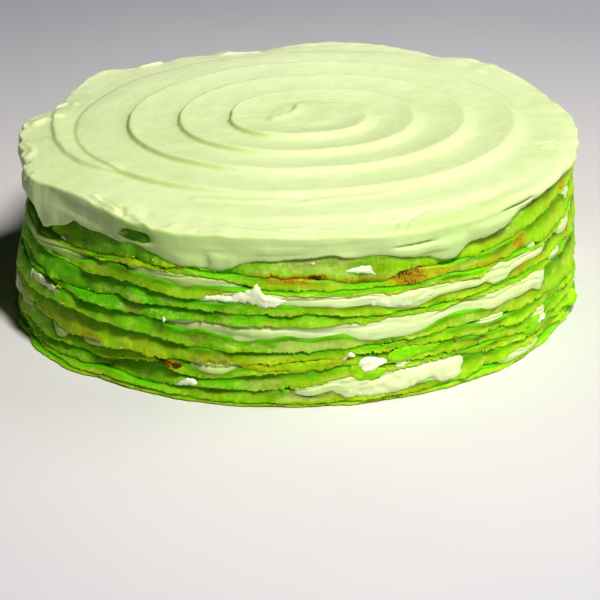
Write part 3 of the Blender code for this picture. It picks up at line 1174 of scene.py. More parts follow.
    def browned(self, i: int, share: np.ndarray) -> np.ndarray:
        """How baked a crepe's edge is.

        Args:
            i: Which crepe.
            share: Place on the edge for each row, 0 at the hem and 1 at the shoulder.

        Returns:
            (rows, columns) values, 0 for fresh and over 1 for dark.
        """
        chance = np.random.default_rng(500 + i)
        patches = list(CREPES[i].patches)
        for _ in range(self.rear_patches):
            place, low = chance.uniform(*REAR), chance.choice([0.0, 0.0, 0.3])
            patches.append(
                Patch(place, chance.uniform(2.0, 11.0), low, low + chance.uniform(0.15, 0.8),
                      chance.uniform(0.4, 1.1))
            )
        made = self.spread(tuple(patches), share)
        hem = np.clip(ripple(520 + i, self.azimuth, 5.0, 40.0, 0.34) + 0.06, 0.0, 0.6)
        return np.maximum(made, hem * np.exp(-((share[:, None] / 0.14) ** 2)))

    def spread(self, patches: tuple[Patch, ...], share: np.ndarray) -> np.ndarray:
        """How strongly patches cover a crepe's edge, as (rows, columns) values.

        Args:
            patches: The patches.
            share: Place on the edge for each row, 0 at the hem and 1 at the shoulder.

        Returns:
            0 outside the patches, up to their strengths inside.
        """
        made = np.zeros((len(share), self.columns))
        for p in patches:
            across = smooth((share - p.low + 0.1) / 0.1) * smooth((p.high - share + 0.12) / 0.12)
            made = np.maximum(made, p.strength * across[:, None]
                              * hump(self.azimuth, p.azimuth, p.width))
        return made

    def crepe(self, i: int, material: bpy.types.Material) -> bpy.types.Object:
        """Builds one crepe, with the edge that hangs over the cream below it.

        Args:
            i: Which crepe, from 0 at the base.
            material: Its material.

        Returns:
            The crepe's object.
        """
        top, smooth_hem = self.shoulders[i], self.hems[i]
        fray = np.minimum(self.torn[i] - smooth_hem, top - 0.5 - smooth_hem)
        fray = np.maximum(fray, -smooth_hem) if i else 0.0 * fray
        crimp = ripple(460 + i, self.azimuth, 1.8, 8.0, 0.09)
        thick = np.minimum(self.thickness, 0.7 * (top - smooth_hem))
        curl = ripple(480 + i, self.azimuth, 12.0, 60.0, 0.3)
        flat = i == 0
        rows, share, ragged, skin = [], [], [], []

        def add(r: np.ndarray, z: np.ndarray, up: float, torn: float, seen: float) -> None:
            """Adds a row of the section."""
            rows.append(np.stack([r + 0 * z, z + 0 * r], axis=-1))
            share.append(up)
            ragged.append(torn)
            skin.append(seen)

        def edge(s: float, inward: np.ndarray | float = 0.0) -> tuple[np.ndarray, np.ndarray]:
            """Place on the hanging edge, from its shoulder at 0 to its hem at 1."""
            r, z = self.face(i, s)
            r = r + crimp * smooth((s - 0.6) / 0.4) + curl * s**4 - inward
            return r, z + fray * smooth((s - 0.72) / 0.28)

        for inner in self.inner_rings:
            drop = (inner / self.crepe_ring) ** 2
            z = self.middle(i) * (1 - drop) + top * drop
            add(np.full(self.columns, inner), z, 1.0, 0.0, 0.0)
        for s in np.linspace(0.0, 1.0, 14):
            r, z = edge(s)
            add(r, z, 1.0 - s, float(smooth((s - 0.6) / 0.4)), float(smooth(s * 5.0)))
        r, z = edge(1.0)
        for inward, down in ((0.14, 0.28), (0.5, 0.4), (0.86, 0.28)):
            add(r - inward * thick, z - down * thick, 0.0, 1.0, 1.0)
        for s in (1.0, 0.55, 0.0):
            r, z = edge(s, thick * s)
            z = z - thick * (1 - s)
            add(r, 0 * z if flat else z, 0.0, s, s)
        for inner in reversed(self.inner_rings):
            drop = (inner / self.crepe_ring) ** 2
            z = (self.middle(i) * (1 - drop) + top * drop) - self.thickness
            add(np.full(self.columns, inner), 0 * z if flat else z, 0.0, 0.0, 0.0)

        spread = np.ones((len(rows), self.columns))
        notes = {
            "browned": self.browned(i, np.array(share)),
            "creamy": self.spread(CREPES[i].films, np.array(share)),
            # out_of_shade is 0 at the shoulder, where painted shade falls under the hem above, and
            # 1 at the hem.
            "out_of_shade": (1.0 - np.array(share))[:, None] * spread,
            # shaded is how much painted shade greens the left side, turned from the key.
            "shaded": CREPES[i].left_shade_green * plateau(self.azimuth, -130.0, 12.0, 35.0) * spread,
            "ragged": np.array(ragged)[:, None] * spread * CREPES[i].tears,
            "skin": np.array(skin)[:, None] * spread,
        }
        strides = [20, 4] + [1] * (len(rows) - 4) + [4, 20]
        name = f"baked_crepe_{i + 1:02d}"
        return wrap_sections(name, np.array(rows), strides, notes, material)

    def outside(self, azimuth: np.ndarray, height: np.ndarray) -> np.ndarray:
        """The stack's outer radius at some azimuths and heights.

        Args:
            azimuth: The azimuths.
            height: As many heights.

        Returns:
            As many radii.
        """
        columns = np.round((azimuth + 180.0) / 360.0 * self.columns).astype(int) % self.columns
        found = [
            np.interp(h, [hem[c] for hem in self.hems], [radius[c] for radius in self.radii])
            for c, h in zip(columns, height)
        ]
        return np.array(found)

    def surface(self, azimuth: float, height: float) -> float:
        """Radius of the crepe's face at one azimuth and height.

        Args:
            azimuth: The azimuth.
            height: The height.

        Returns:
            The radius of the crepe that hangs there.
        """
        column = round((azimuth + 180.0) / 360.0 * self.columns) % self.columns
        i = max(0, int(np.searchsorted([hem[column] for hem in self.hems], height)) - 1)
        hem, shoulder = self.hems[i][column], self.shoulders[i][column]
        share = min(1.0, max(0.0, (shoulder - height) / (shoulder - hem)))
        return float(self.face(i, share)[0][column])

    def recess(self, i: int) -> np.ndarray:
        """How far a crepe's shoulder lies behind its hem, least where cream backs it.

        Args:
            i: Which crepe, from 0 at the base.

        Returns:
            One depth a column.
        """
        deep = self.shoulders[i] - self.hems[i]
        uneven = 1.0 + ripple(440 + i, self.azimuth, 20, 90, 0.2)
        loose = np.minimum(self.lean, 0.55 * deep) * uneven
        cream = self.cream[i] if i < len(self.cream) else 0.0 * deep
        lit = 1.0 - 0.35 * plateau(self.azimuth, -45.0, 120.0, 30.0)
        lit = lit - 0.32 * plateau(self.azimuth, 8.0, 118.0, 25.0)
        return loose * lit * (1.0 - 0.5 * smooth(cream / 1.6))

    def face(self, i: int, s: float) -> tuple[np.ndarray, np.ndarray]:
        """Radius and height on a crepe's hanging edge, from 0 at its shoulder to 1.

        Args:
            i: Which crepe, from 0 at the base.
            s: The place, 0 at the shoulder and 1 at the hem.

        Returns:
            One radius and one height a column.
        """
        deep = self.shoulders[i] - self.hems[i]
        thick = np.minimum(self.thickness, 0.7 * deep)
        r = self.radii[i] - self.recess(i) * (1 - s) ** 1.25
        return r, self.shoulders[i] - (deep - 0.4 * thick) * s**1.15

    def filling(self, i: int, material: bpy.types.Material) -> bpy.types.Object:
        """Builds the cream on a crepe, squeezed out where its streaks are.

        Args:
            i: Which crepe, from 0 at the base.
            material: The cream's material.

        Returns:
            The cream's object.
        """
        shown = smooth((self.cream[i] - 0.3) / 0.9)
        over = np.minimum(self.radii[i], self.radii[i + 1])
        back = over - self.filling_depth
        front = back + shown * (self.filling_depth + self.stand[i])
        roof = self.hems[i + 1] + 0.6
        rest, floor = self.face(i, 0.3)
        rest = back + shown * (rest - 0.6 - back)
        floor = np.minimum(floor, self.shoulders[i] - 0.3)
        middle = 0.55 * roof + 0.45 * floor
        lift = self.middle(i)
        rows, skin = [], []

        def add(r: np.ndarray, z: np.ndarray, seen: float) -> None:
            """Adds a row of the section."""
            rows.append(np.stack([r, z], axis=-1))
            skin.append(seen)

        for inner in self.inner_rings:
            drop = (inner / self.filling_ring) ** 2
            z = (lift + 4.0) * (1 - drop) + (middle + 0.5 * (roof - middle)) * drop
            add(np.full(self.columns, inner), z, 0.0)
        crease = 14.0 + ripple(750 + i, self.azimuth, 25.0, 90.0, 16.0)
        for angle in np.radians(np.linspace(90.0, -90.0, 27)):
            groove = 0.08 * np.exp(-(((np.degrees(angle) - crease) / 11.0) ** 2))
            out = abs(math.cos(angle)) ** (0.18 if angle > 0 else 0.4) * (1.0 - groove)
            up = abs(math.sin(angle)) ** 0.95
            end, foot = (roof, back - 1.0) if angle >= 0 else (floor, rest)
            add(foot + (front - foot) * out, middle + (end - middle) * up, math.cos(angle))
        for inner in reversed(self.inner_rings):
            drop = (inner / self.filling_ring) ** 2
            z = (lift + 0.4) * (1 - drop) + (floor + 0.1) * drop
            add(np.full(self.columns, inner), z, 0.0)
        spread = np.ones((len(rows), self.columns))
        skin_map = np.array(skin)[:, None] * spread * shown
        # Painted shade: the cream is greened a little everywhere, and most on the left, which is
        # turned from the key.
        tinted = 0.35 + 0.95 * smooth((15.0 - self.azimuth) / 60.0)
        notes = {"ragged": 0 * spread, "skin": skin_map, "shade_tint": tinted * spread}
        strides = [20, 4] + [2] * (len(rows) - 4) + [4, 20]
        name = f"cream_layer_{i + 1:02d}"
        return wrap_sections(name, np.array(rows), strides, notes, material)


@dataclass(frozen=True)
class Dent:
    """A place on the topping's side that stands out, or in when out is below 0."""

    azimuth: float
    height: float
    width: float
    tall: float
    out: float


@dataclass(frozen=True)
class Fold:
    """A ridge that the palette knife left along a path of (x, y) points, or a groove.

    Its height is below 0 for a groove. Left and right are how far it reaches to either
    side of the way along the path.
    """

    path: tuple[tuple[float, float], ...]
    height: float
    left: float = 0.8
    right: float = 0.8

    def raised(self, x: np.ndarray, y: np.ndarray) -> np.ndarray:
        """How far it lifts some places.

        Args:
            x: Their x, in millimetres.
            y: Their y.

        Returns:
            One height a place.
        """
        steps = list(zip(self.path, self.path[1:]))
        lengths = [math.dist(start, end) for start, end in steps]
        off, along, leftward = np.full(x.shape, np.inf), 0.0 * x, 0.0 * x
        for i, ((x0, y0), (x1, y1)) in enumerate(steps):
            dx, dy = (x1 - x0) / lengths[i], (y1 - y0) / lengths[i]
            run = np.clip((x - x0) * dx + (y - y0) * dy, 0.0, lengths[i])
            away = np.hypot(x - x0 - run * dx, y - y0 - run * dy)
            nearer = away < off
            off = np.where(nearer, away, off)
            along = np.where(nearer, (sum(lengths[:i]) + run) / sum(lengths), along)
            leftward = np.where(nearer, dx * (y - y0) - dy * (x - x0), leftward)
        reach = np.where(leftward > 0, self.left, self.right)
        ends = smooth(along / 0.2) * smooth((1.0 - along) / 0.12)
        return self.height * ends * np.exp(-((off / reach) ** 2))


@dataclass
class Topping:
    """The thick cream on top: a spiral, an uneven rim and a side that hangs in drips."""

    rim: float = 59.3
    dome: float = 7.0
    sharp: tuple[float, float] = (0.9, 0.9)
    soft: tuple[float, float] = (7.0, 2.8)
    hem: tuple[tuple[float, float], ...] = (
        (-150, 52.5), (-134, 54.0), (-124, 51.0), (-112, 53.5), (-100, 51.8), (-86, 53.4),
        (-75, 52.6), (-70, 52.0), (-67.8, 50.0), (-66.7, 44.5), (-65.7, 42.6), (-64.9, 45.2),
        (-62, 46.8), (-59, 48.6), (-57.2, 50.6), (-56, 52.2), (-54.2, 52.4), (-53, 51.6),
        (-49, 52.0), (-44.7, 52.7), (-41, 51.8), (-39, 52.1), (-36, 52.9), (-34, 53.2),
        (-31, 51.8), (-28.8, 50.9), (-26.6, 49.2), (-22.7, 49.4), (-16, 49.0), (-14.6, 49.6),
        (-12, 51.8), (-10, 52.9), (-4, 53.3), (0, 53.9), (3, 54.0), (5.6, 55.0), (7, 54.8),
        (9, 53.6), (11, 52.7), (14, 53.0), (17, 52.4), (20, 51.3), (24, 50.3), (28, 48.0),
        (32, 46.2), (33, 48.3), (35, 50.4), (38, 50.5), (42, 50.9), (45, 51.9), (47.3, 53.8),
        (50, 54.9), (55, 55.6), (60, 56.0), (64, 56.4), (70, 56.2), (80, 54.6), (92, 52.6),
        (104, 53.6), (118, 50.4), (126, 54.0), (142, 52.6), (155, 49.8), (163, 53.4),
        (180, 53.0), (196, 50.6),
    )
    lift_course: tuple[tuple[float, float], ...] = (
        (-172, -0.4), (-160, 0.1), (-142, 0.3), (-137, 2.0), (-131, 1.6), (-126, 0.2),
        (-112, -0.2), (-103, 0.7), (-90, 0.3), (-60, 0.2), (0, 0.0), (60, 0.0), (100, 0.2),
        (120, 0.5), (132, 1.2), (139, 1.7), (145, 0.3), (152, 0.4), (162, 1.2), (172, 1.6),
        (178, 0.6),
    )
    dents: tuple[Dent, ...] = (
        Dent(-35.3, 56.3, 4.3, 1.8, -2.4), Dent(-15.5, 51.6, 2.8, 2.8, 0.9),
        Dent(-19.2, 51.6, 0.9, 2.6, -0.3), Dent(-22.8, 50.6, 3.2, 2.4, 0.5),
        Dent(-17.5, 56.4, 2.4, 0.3, 0.3), Dent(31.5, 50.0, 3.4, 4.5, 1.3),
        Dent(23.5, 54.6, 4.2, 0.45, -0.9), Dent(24.5, 52.4, 5.0, 1.6, 0.8),
        Dent(42.5, 53.0, 6.8, 2.9, 1.2), Dent(49, 57.4, 4.6, 0.45, -1.1),
        Dent(5, 56.5, 9.0, 2.0, -0.3),
        Dent(-55, 57.0, 10.0, 2.5, -0.5), Dent(-63.5, 48.5, 2.2, 4.0, 0.3),
        Dent(75, 56.0, 5.0, 2.0, 0.6), Dent(-4, 56.6, 5.0, 1.4, 0.35),
    )
    folds: tuple[Fold, ...] = (
        Fold(((-87, 42), (-88, 28), (-88, 14), (-86, -2), (-82, -15), (-76, -26), (-69, -33),
              (-60, -40)), 1.3, 5.5, 0.5),
        Fold(((-71.5, -54), (-69.4, -57.6), (-65.5, -63.5), (-61.2, -70.5)), 1.0, 1.1, 0.9),
        Fold(((-69.5, -54.5), (-66.8, -59), (-63.4, -63.4), (-60, -67.4)), -1.7, 0.6, 0.9),
        Fold(((-60.4, -65), (-60, -69), (-60, -73)), -2.0, 0.6, 0.6),
        Fold(((-57, -72), (-54.5, -77), (-51.6, -83), (-50, -87)), 1.0, 1.0, 0.8),
        Fold(((-54, -70), (-50, -77), (-44, -84)), -0.7, 3.0, 2.0),
        Fold(((-96, 16), (-91, 22), (-84, 21)), 1.1, 2.5, 0.6),
        Fold(((-99, 2), (-95.5, -3), (-94, -9), (-96, -15)), 0.6, 1.4, 1.0),
        Fold(((-101, -15), (-98, -17), (-95, -20)), -2.4, 1.6, 1.2),
        Fold(((-99, -26), (-96, -28), (-93, -30)), -1.6, 1.2, 1.0),
        Fold(((-90, 36), (-84, 40), (-80, 36)), 0.8, 2.0, 0.6),
        Fold(((84, -19), (91, -17), (95, -22), (96, -28)), 0.8, 0.6, 1.4),
        Fold(((84, -17), (90, -15), (96, -19)), -0.7, 0.6, 0.6),
        Fold(((95, -28), (91, -42), (82, -56), (70, -68), (60, -77)), 0.9, 0.8, 2.4),
        Fold(((22, -85), (30, -86.5), (38, -88.5)), -0.9, 0.6, 0.8),
        Fold(((-42, -56), (-35, -65), (-20, -69), (-8, -70), (0, -73), (8, -70), (25, -67),
              (44, -58)), 0.6, 2.6, 0.7),
        Fold(((-30, -84), (-24, -88), (-12, -92), (0, -95)), 0.6, 1.2, 0.6),
        Fold(((-10, -90), (4, -91), (14, -93)), 0.4, 1.0, 0.6),
        Fold(((44, -76), (36, -84), (28, -90)), -0.6, 0.6, 0.9),
        Fold(((4, 18), (2.6, 17.4), (1.4, 16), (0.6, 14), (0.2, 12), (-0.2, 10), (-0.9, 8),
              (-2, 6.2), (-3.6, 4.8), (-5.6, 3.8), (-8, 3.2), (-11, 3)), 0.9, 3.4, 0.8),
        Fold(((60, 78), (66, 70), (70, 60)), 0.6, 1.5, 0.6),
        Fold(((-60, 78), (-54, 80), (-50, 84)), 0.9, 1.5, 1.0),
        Fold(((-30, 88), (-20, 92), (-12, 92)), 0.5, 1.5, 0.7),
    )
    pit: tuple[float, float] = (-21.8, 95.6)
    relief: Relief = Relief(0.3, 75.0, 0.09, 290.0, ragged=0.55)
    # How strongly painted shade greens the hanging side at each azimuth; most left of the front,
    # which is turned from the key.
    shade: tuple[tuple[float, float], ...] = (
        (-120, 0.2), (-75, 0.3), (-55, 0.5), (-42, 1.6), (-33, 2.4), (-24, 1.6), (-10, 1.1),
        (14, 1.1), (30, 1.5), (42, 1.4), (60, 0.0),
    )

    def _rim_radius(self, azimuth: np.ndarray) -> np.ndarray:
        """The rim's radius.

        Args:
            azimuth: The columns' azimuths.

        Returns:
            One radius a column, with its small waves.
        """
        left = 0.15 + 0.6 * smooth((np.abs(azimuth) - 55.0) / 30.0)
        quick = ripple(701, azimuth, 3.0, 13.0, 0.16) * left
        lumps = ripple(704, azimuth, 8.0, 18.0, 0.2) * plateau(azimuth, -106.0, -66.0, 8.0)
        return RIM.at(azimuth) + quick + lumps

    def _roughness(self, rows: np.ndarray, azimuth: np.ndarray) -> np.ndarray:
        """Where the rim is broken up, left of the front and behind.

        Args:
            rows: The topping's sections.
            azimuth: The columns' azimuths.

        Returns:
            (rows, columns) values from 0 to 1.
        """
        near = smooth((rows[..., 0] - 95.0) / 3.0) * smooth((rows[..., 1] - 51.0) / 4.0)
        left = plateau(azimuth, -115.0, -68.0, 10.0)
        return near * np.maximum(left, 0.55 * smooth((np.abs(azimuth) - 80.0) / 20.0))

    def sections(self, stack: Stack) -> tuple[np.ndarray, list[int], dict[str, np.ndarray]]:
        """The topping's sections and its point attributes.

        Args:
            stack: The crepes that it lies on.

        Returns:
            (rows, columns, 2) sections, the rows' strides, and the attributes top, skin,
            ragged and side, which says how strongly painted shade greens the hanging side.
        """
        azimuth = azimuths(TOPPING_COLUMNS)
        edge = self._rim_radius(azimuth)
        lift = Course(self.lift_course, 1.2).at(azimuth) + ripple(703, azimuth, 9.0, 60.0, 0.2)
        far = 0.42 * np.cos(np.radians(azimuth)) * smooth((105.0 - np.abs(azimuth)) / 25.0)
        right = plateau(azimuth, 6.0, 92.0, 14.0)
        foot = edge - 0.6 - 0.5 * plateau(azimuth, -34.0, 20.0, 10.0)
        foot = foot + 1.7 * plateau(azimuth, -84.0, -38.0, 12.0)
        clear = np.interp(azimuth, stack.azimuth, stack.face(-1, 0.3)[0], period=360.0)
        hem = Course(self.hem, 0.7).at(azimuth) + ripple(702, azimuth, 3.0, 14.0, 0.1)
        hem = hem - np.maximum(CAKE_RADIUS - foot, 0.0) * far
        seat = np.interp(azimuth, stack.azimuth, stack.shoulders[-1], period=360.0)
        thick = 1.2 + 0.4 * smooth((54.0 - hem) / 4.0)
        foot = np.maximum(clear + 0.2 + thick * 0.5, foot)
        rows, top, skin, strides = [], [], [], []

        def add(r: np.ndarray, z: np.ndarray, on_top: float, seen: float, stride: int = 1) -> None:
            """Adds a row of the section."""
            rows.append(np.stack([r + 0 * z, z + 0 * r], axis=-1))
            top.append(on_top)
            skin.append(seen)
            strides.append(stride)

        bend = self.sharp[0] + (self.soft[0] - self.sharp[0]) * right
        sink = self.sharp[1] + (self.soft[1] - self.sharp[1]) * right
        inside = edge - bend
        for share in np.linspace(0.006, 1.0, 180):
            r = inside * share
            z = self.rim + self.dome * (1 - (r / 100.0) ** 2) + lift * share**14
            add(r, z, 1.0, 1.0, 8 if share < 0.2 else 4 if share < 0.5 else 2)
        shelf = self.rim + self.dome * (1 - (inside / 100.0) ** 2) + lift
        for angle in np.radians((16.0, 34.0, 52.0, 70.0, 88.0)):
            r = inside + bend * math.sin(angle)
            z = shelf - sink * (1 - math.cos(angle))
            add(r, z, max(0.0, 1.0 - 0.7 * angle), 1.0)
        start = shelf - sink
        for s in np.linspace(0.05, 1.0, 18):
            z = start + (hem + 0.5 * thick - start) * s
            r = edge + (foot - edge) * s + 0.15 * np.sin(np.pi * s)
            for d in self.dents:
                off = z + np.maximum(CAKE_RADIUS - edge, 0.0) * far - d.height
                reach = np.exp(-((off / d.tall) ** 4)) * np.exp(
                    -((turn_between(azimuth, d.azimuth) / d.width) ** 4)
                )
                r = r + d.out * reach
            add(r, z, 0.0, 1.0)
        last = rows[-1][:, 0]
        for out, up in ((0.14, 0.16), (0.5, 0.0), (0.86, 0.16), (1.0, 0.5)):
            add(last - out * thick, hem + up * thick, 0.0, 0.8)
        ceiling = np.maximum(hem + 0.6 * thick, seat + 0.3)
        add(last - thick, ceiling, 0.0, 0.0)
        for inner, stride in ((88.0, 4), (50.0, 8), (12.0, 24)):
            z = self.rim + self.dome * (1 - (inner / 100.0) ** 2) - 3.2
            add(np.full_like(azimuth, inner), np.full_like(azimuth, z), 0.0, 0.0, stride)
        spread = np.ones((len(rows), TOPPING_COLUMNS))
        rows = np.array(rows)
        turn = np.radians(azimuth)
        x, y = rows[..., 0] * np.sin(turn), -rows[..., 0] * np.cos(turn)
        raised = sum(f.raised(x, y) for f in self.folds) * smooth((rows[..., 1] - 57.0) / 1.6)
        pit_turn, pit_radius = math.radians(self.pit[0]), self.pit[1]
        x = x - pit_radius * math.sin(pit_turn)
        y = y + pit_radius * math.cos(pit_turn)
        arms = 1.0 + 0.45 * np.cos(5.0 * np.arctan2(y, x))
        pit = -1.1 * np.exp(-((np.hypot(x, y) / arms / 0.9) ** 2)) * (rows[..., 1] > 58.0)
        outer = np.array(skin)[:, None] > 0.5
        rows[..., 1] += (raised + pit) * outer
        side = smooth((1.0 - np.array(top)) * 2.0) * (np.array(skin) > 0.5)
        notes = {
            "top": np.array(top)[:, None] * spread,
            "skin": np.array(skin)[:, None] * spread,
            "ragged": self._roughness(rows, azimuth) * outer,
            "side": side[:, None] * Course(self.shade).at(azimuth),
        }
        return rows, strides, notes

    def build(
        self, stack: Stack, material: bpy.types.Material, spiral: Tree, relief: Tree
    ) -> bpy.types.Object:
        """Builds the topping.

        Args:
            stack: The crepes that it lies on.
            material: Its material.
            spiral: The tree that raises the spiral.
            relief: The tree that makes the cream uneven.

        Returns:
            The topping's object.
        """
        sections, strides, notes = self.sections(stack)
        obj = wrap_sections("cream_topping", sections, strides, notes, material)
        spiral.apply(
            obj,
            {"Middle X": 4.5 * MM, "Middle Y": 7.0 * MM, "Pitch": 18.6 * MM,
             "Depth": 1.6 * MM, "Fall": 0.18, "Wander": 1.5 * MM, "Oval": 0.21,
             "Reach": 0.1, "Material": material},
        )
        self.relief.apply(relief, obj)
        return obj


@dataclass(frozen=True)
class Smear:
    """Cream smeared over the side, between an upper and a lower outline.

    The outlines are (azimuth, height) keys. Its back lies on the stack, or at a radius of
    its own, and its face stands out from there by one measure at its left end and another
    at its right end. It can be browned, when it is a torn fold of crepe.
    """

    upper: tuple[tuple[float, float], ...]
    lower: tuple[tuple[float, float], ...]
    stand: tuple[float, float]
    radius: float = 0.0
    browned: float = 0.0


BIG_SMEAR = Smear(
    ((5, 7.1), (5.6, 8.6), (7, 9.1), (9, 8.6), (11, 7.4), (14, 7.9), (17, 9.6), (19, 10.3),
     (22, 10.8), (26, 10.9), (30, 11.3), (32, 10.8), (32.9, 9.2)),
    ((5, 6.8), (6, 4.5), (8, 2.9), (10, 2.4), (18, 2.4), (20, 2.9), (23, 4.6), (25, 5.0),
     (26, 4.5), (27, 3.3), (28, 2.5), (31, 2.7), (32.5, 3.7), (32.9, 6.5)), (0.7, 1.9))
DOLLOP = Smear(
    ((-21, 36.8), (-19, 38.1), (-17.5, 39.1), (-16.3, 39.3), (-14.7, 39.0), (-13.5, 39.4),
     (-12.6, 40.4), (-12, 41.4), (-10.6, 41.7), (-9.6, 41.6), (-9.1, 43.9), (-8.6, 44.6),
     (-8.2, 43.9), (-8, 41.9), (-7.1, 40.3), (-6, 39.8), (-4.7, 39.4), (-2.9, 38.1)),
    ((-21, 36.5), (-19, 36.8), (-17.6, 37.5), (-15.5, 37.2), (-12.9, 37.1), (-10.3, 37.0),
     (-9.6, 36.3), (-8.4, 35.6), (-6.8, 35.4), (-5.1, 35.9), (-2.9, 37.4)), (0.8, 1.7))
WHITE_SMEARS = (
    DOLLOP,
    Smear(((10.4, 13.6), (10.7, 14.9), (12, 16.4), (14, 16.6), (15, 15.9), (16.2, 15.8),
           (16.6, 14.2)),
          ((10.4, 12.7), (11.4, 11.6), (12, 10.5), (13, 10.4), (14, 11.0), (14.6, 12.5),
           (15.5, 13.2), (16.6, 13.8)), (1.6, 2.0)),
    Smear(((7.2, 16.3), (8.5, 18.3), (9.5, 19.2), (10.2, 18.0), (10.4, 17.4)),
          ((7.2, 16.2), (9, 16.9), (10.4, 17.2)), (0.8, 1.2)),
    Smear(((8, 47.1), (10, 47.5), (13, 48.2), (14.2, 48.3), (14.8, 46.5), (15.3, 44.8)),
          ((8, 47.0), (10, 46.5), (12, 45.8), (13.5, 44.8), (15.3, 44.4)), (0.4, 0.9)),
    Smear(((-26, 4.9), (-24.4, 7.0), (-22.6, 8.3), (-21.6, 7.9), (-20.8, 6.7)),
          ((-26, 4.4), (-24, 5.0), (-22, 5.9), (-20.8, 6.3)), (0.8, 1.2)),
)
PALE_SMEARS = (
    BIG_SMEAR,
    Smear(((-76, 24.4), (-72, 25.4), (-68, 26.0), (-64, 26.4), (-60, 26.2), (-55.4, 24.4)),
          ((-76, 24.0), (-70, 21.6), (-66, 21.4), (-62, 21.6), (-59, 22.6), (-55.4, 24.2)),
          (1.2, 0.7)),
    Smear(((-90, 13.0), (-86, 14.4), (-80, 14.8), (-74, 14.0), (-69, 12.4)),
          ((-90, 8.0), (-85, 7.0), (-80, 9.4), (-75, 10.4), (-69, 12.0)), (1.6, 0.5)),
    Smear(((17.3, 12.2), (19, 12.5), (22.4, 13.3)),
          ((17.3, 12.0), (19, 11.1), (21, 11.8), (22.4, 13.1)), (0.9, 0.5)),
    Smear(((9, 39.0), (12, 38.9), (16, 38.7), (22, 38.2), (25, 37.7), (28, 36.4)),
          ((9, 38.5), (11, 37.3), (14, 34.8), (17, 33.4), (21, 32.8), (24, 33.4), (26, 34.8),
           (28, 36.1)), (0.5, 1.0)),
)
PEEK = Smear(
    ((-39.6, 54.6), (-38, 55.9), (-35.6, 56.7), (-33.9, 56.2), (-32.2, 55), (-31.1, 53.5)),
    ((-39.6, 54.4), (-38.3, 53.9), (-37, 53.4), (-34.5, 53.4), (-32.5, 52.9), (-31.1, 53.0)),
    (0.4, 0.4), 95.6)
TORN_FOLDS = (
    PEEK,
    Smear(((16.2, 15.2), (16.8, 17.0), (18, 18.2), (20, 18.6), (23, 18.2), (28, 17.4)),
          ((16.2, 14.8), (17, 13.3), (19, 12.7), (21, 12.9), (24, 13.8), (28, 15.2)), (1.9, 0.4)),
    Smear(((8.4, 11.4), (9.4, 13.8), (11, 14.8), (13, 14.0), (15.2, 12.4), (16.4, 11.4)),
          ((8.4, 11.0), (9.6, 9.2), (12, 8.0), (14, 8.2), (15.2, 9.4), (16.4, 10.8)), (0.9, 1.2)),
    Smear(((-12.5, 14.9), (-8, 15.5), (-2, 16.2), (4, 16.8), (8.6, 17.2)),
          ((-12.5, 14.6), (-10, 13.2), (-6, 12.2), (0, 12.3), (5, 13.4), (8.6, 15.4)),
          (0.8, 0.9), 0.0, 0.5),
    Smear(((49.4, 8.8), (51, 11.4), (53.5, 12.8), (56.8, 12.4)),
          ((49.4, 8.4), (51.5, 6.6), (54.5, 6.4), (56.8, 8.2)), (0.9, 1.3), 0.0, 0.25),
    Smear(((72, 5.4), (74, 7.2), (76.5, 7.4), (79, 5.8)),
          ((72, 4.6), (74, 3.2), (76.5, 3.0), (79, 4.4)), (2.2, 3.8), 0.0, 0.3),
    Smear(((-27.6, 12.6), (-26.6, 13.2), (-25.2, 12.9), (-24.4, 12.2)),
          ((-27.6, 12.2), (-26.9, 9.9), (-26.1, 9.4), (-24.4, 11.6)), (0.2, 0.5), 0.0, 1.45),
)


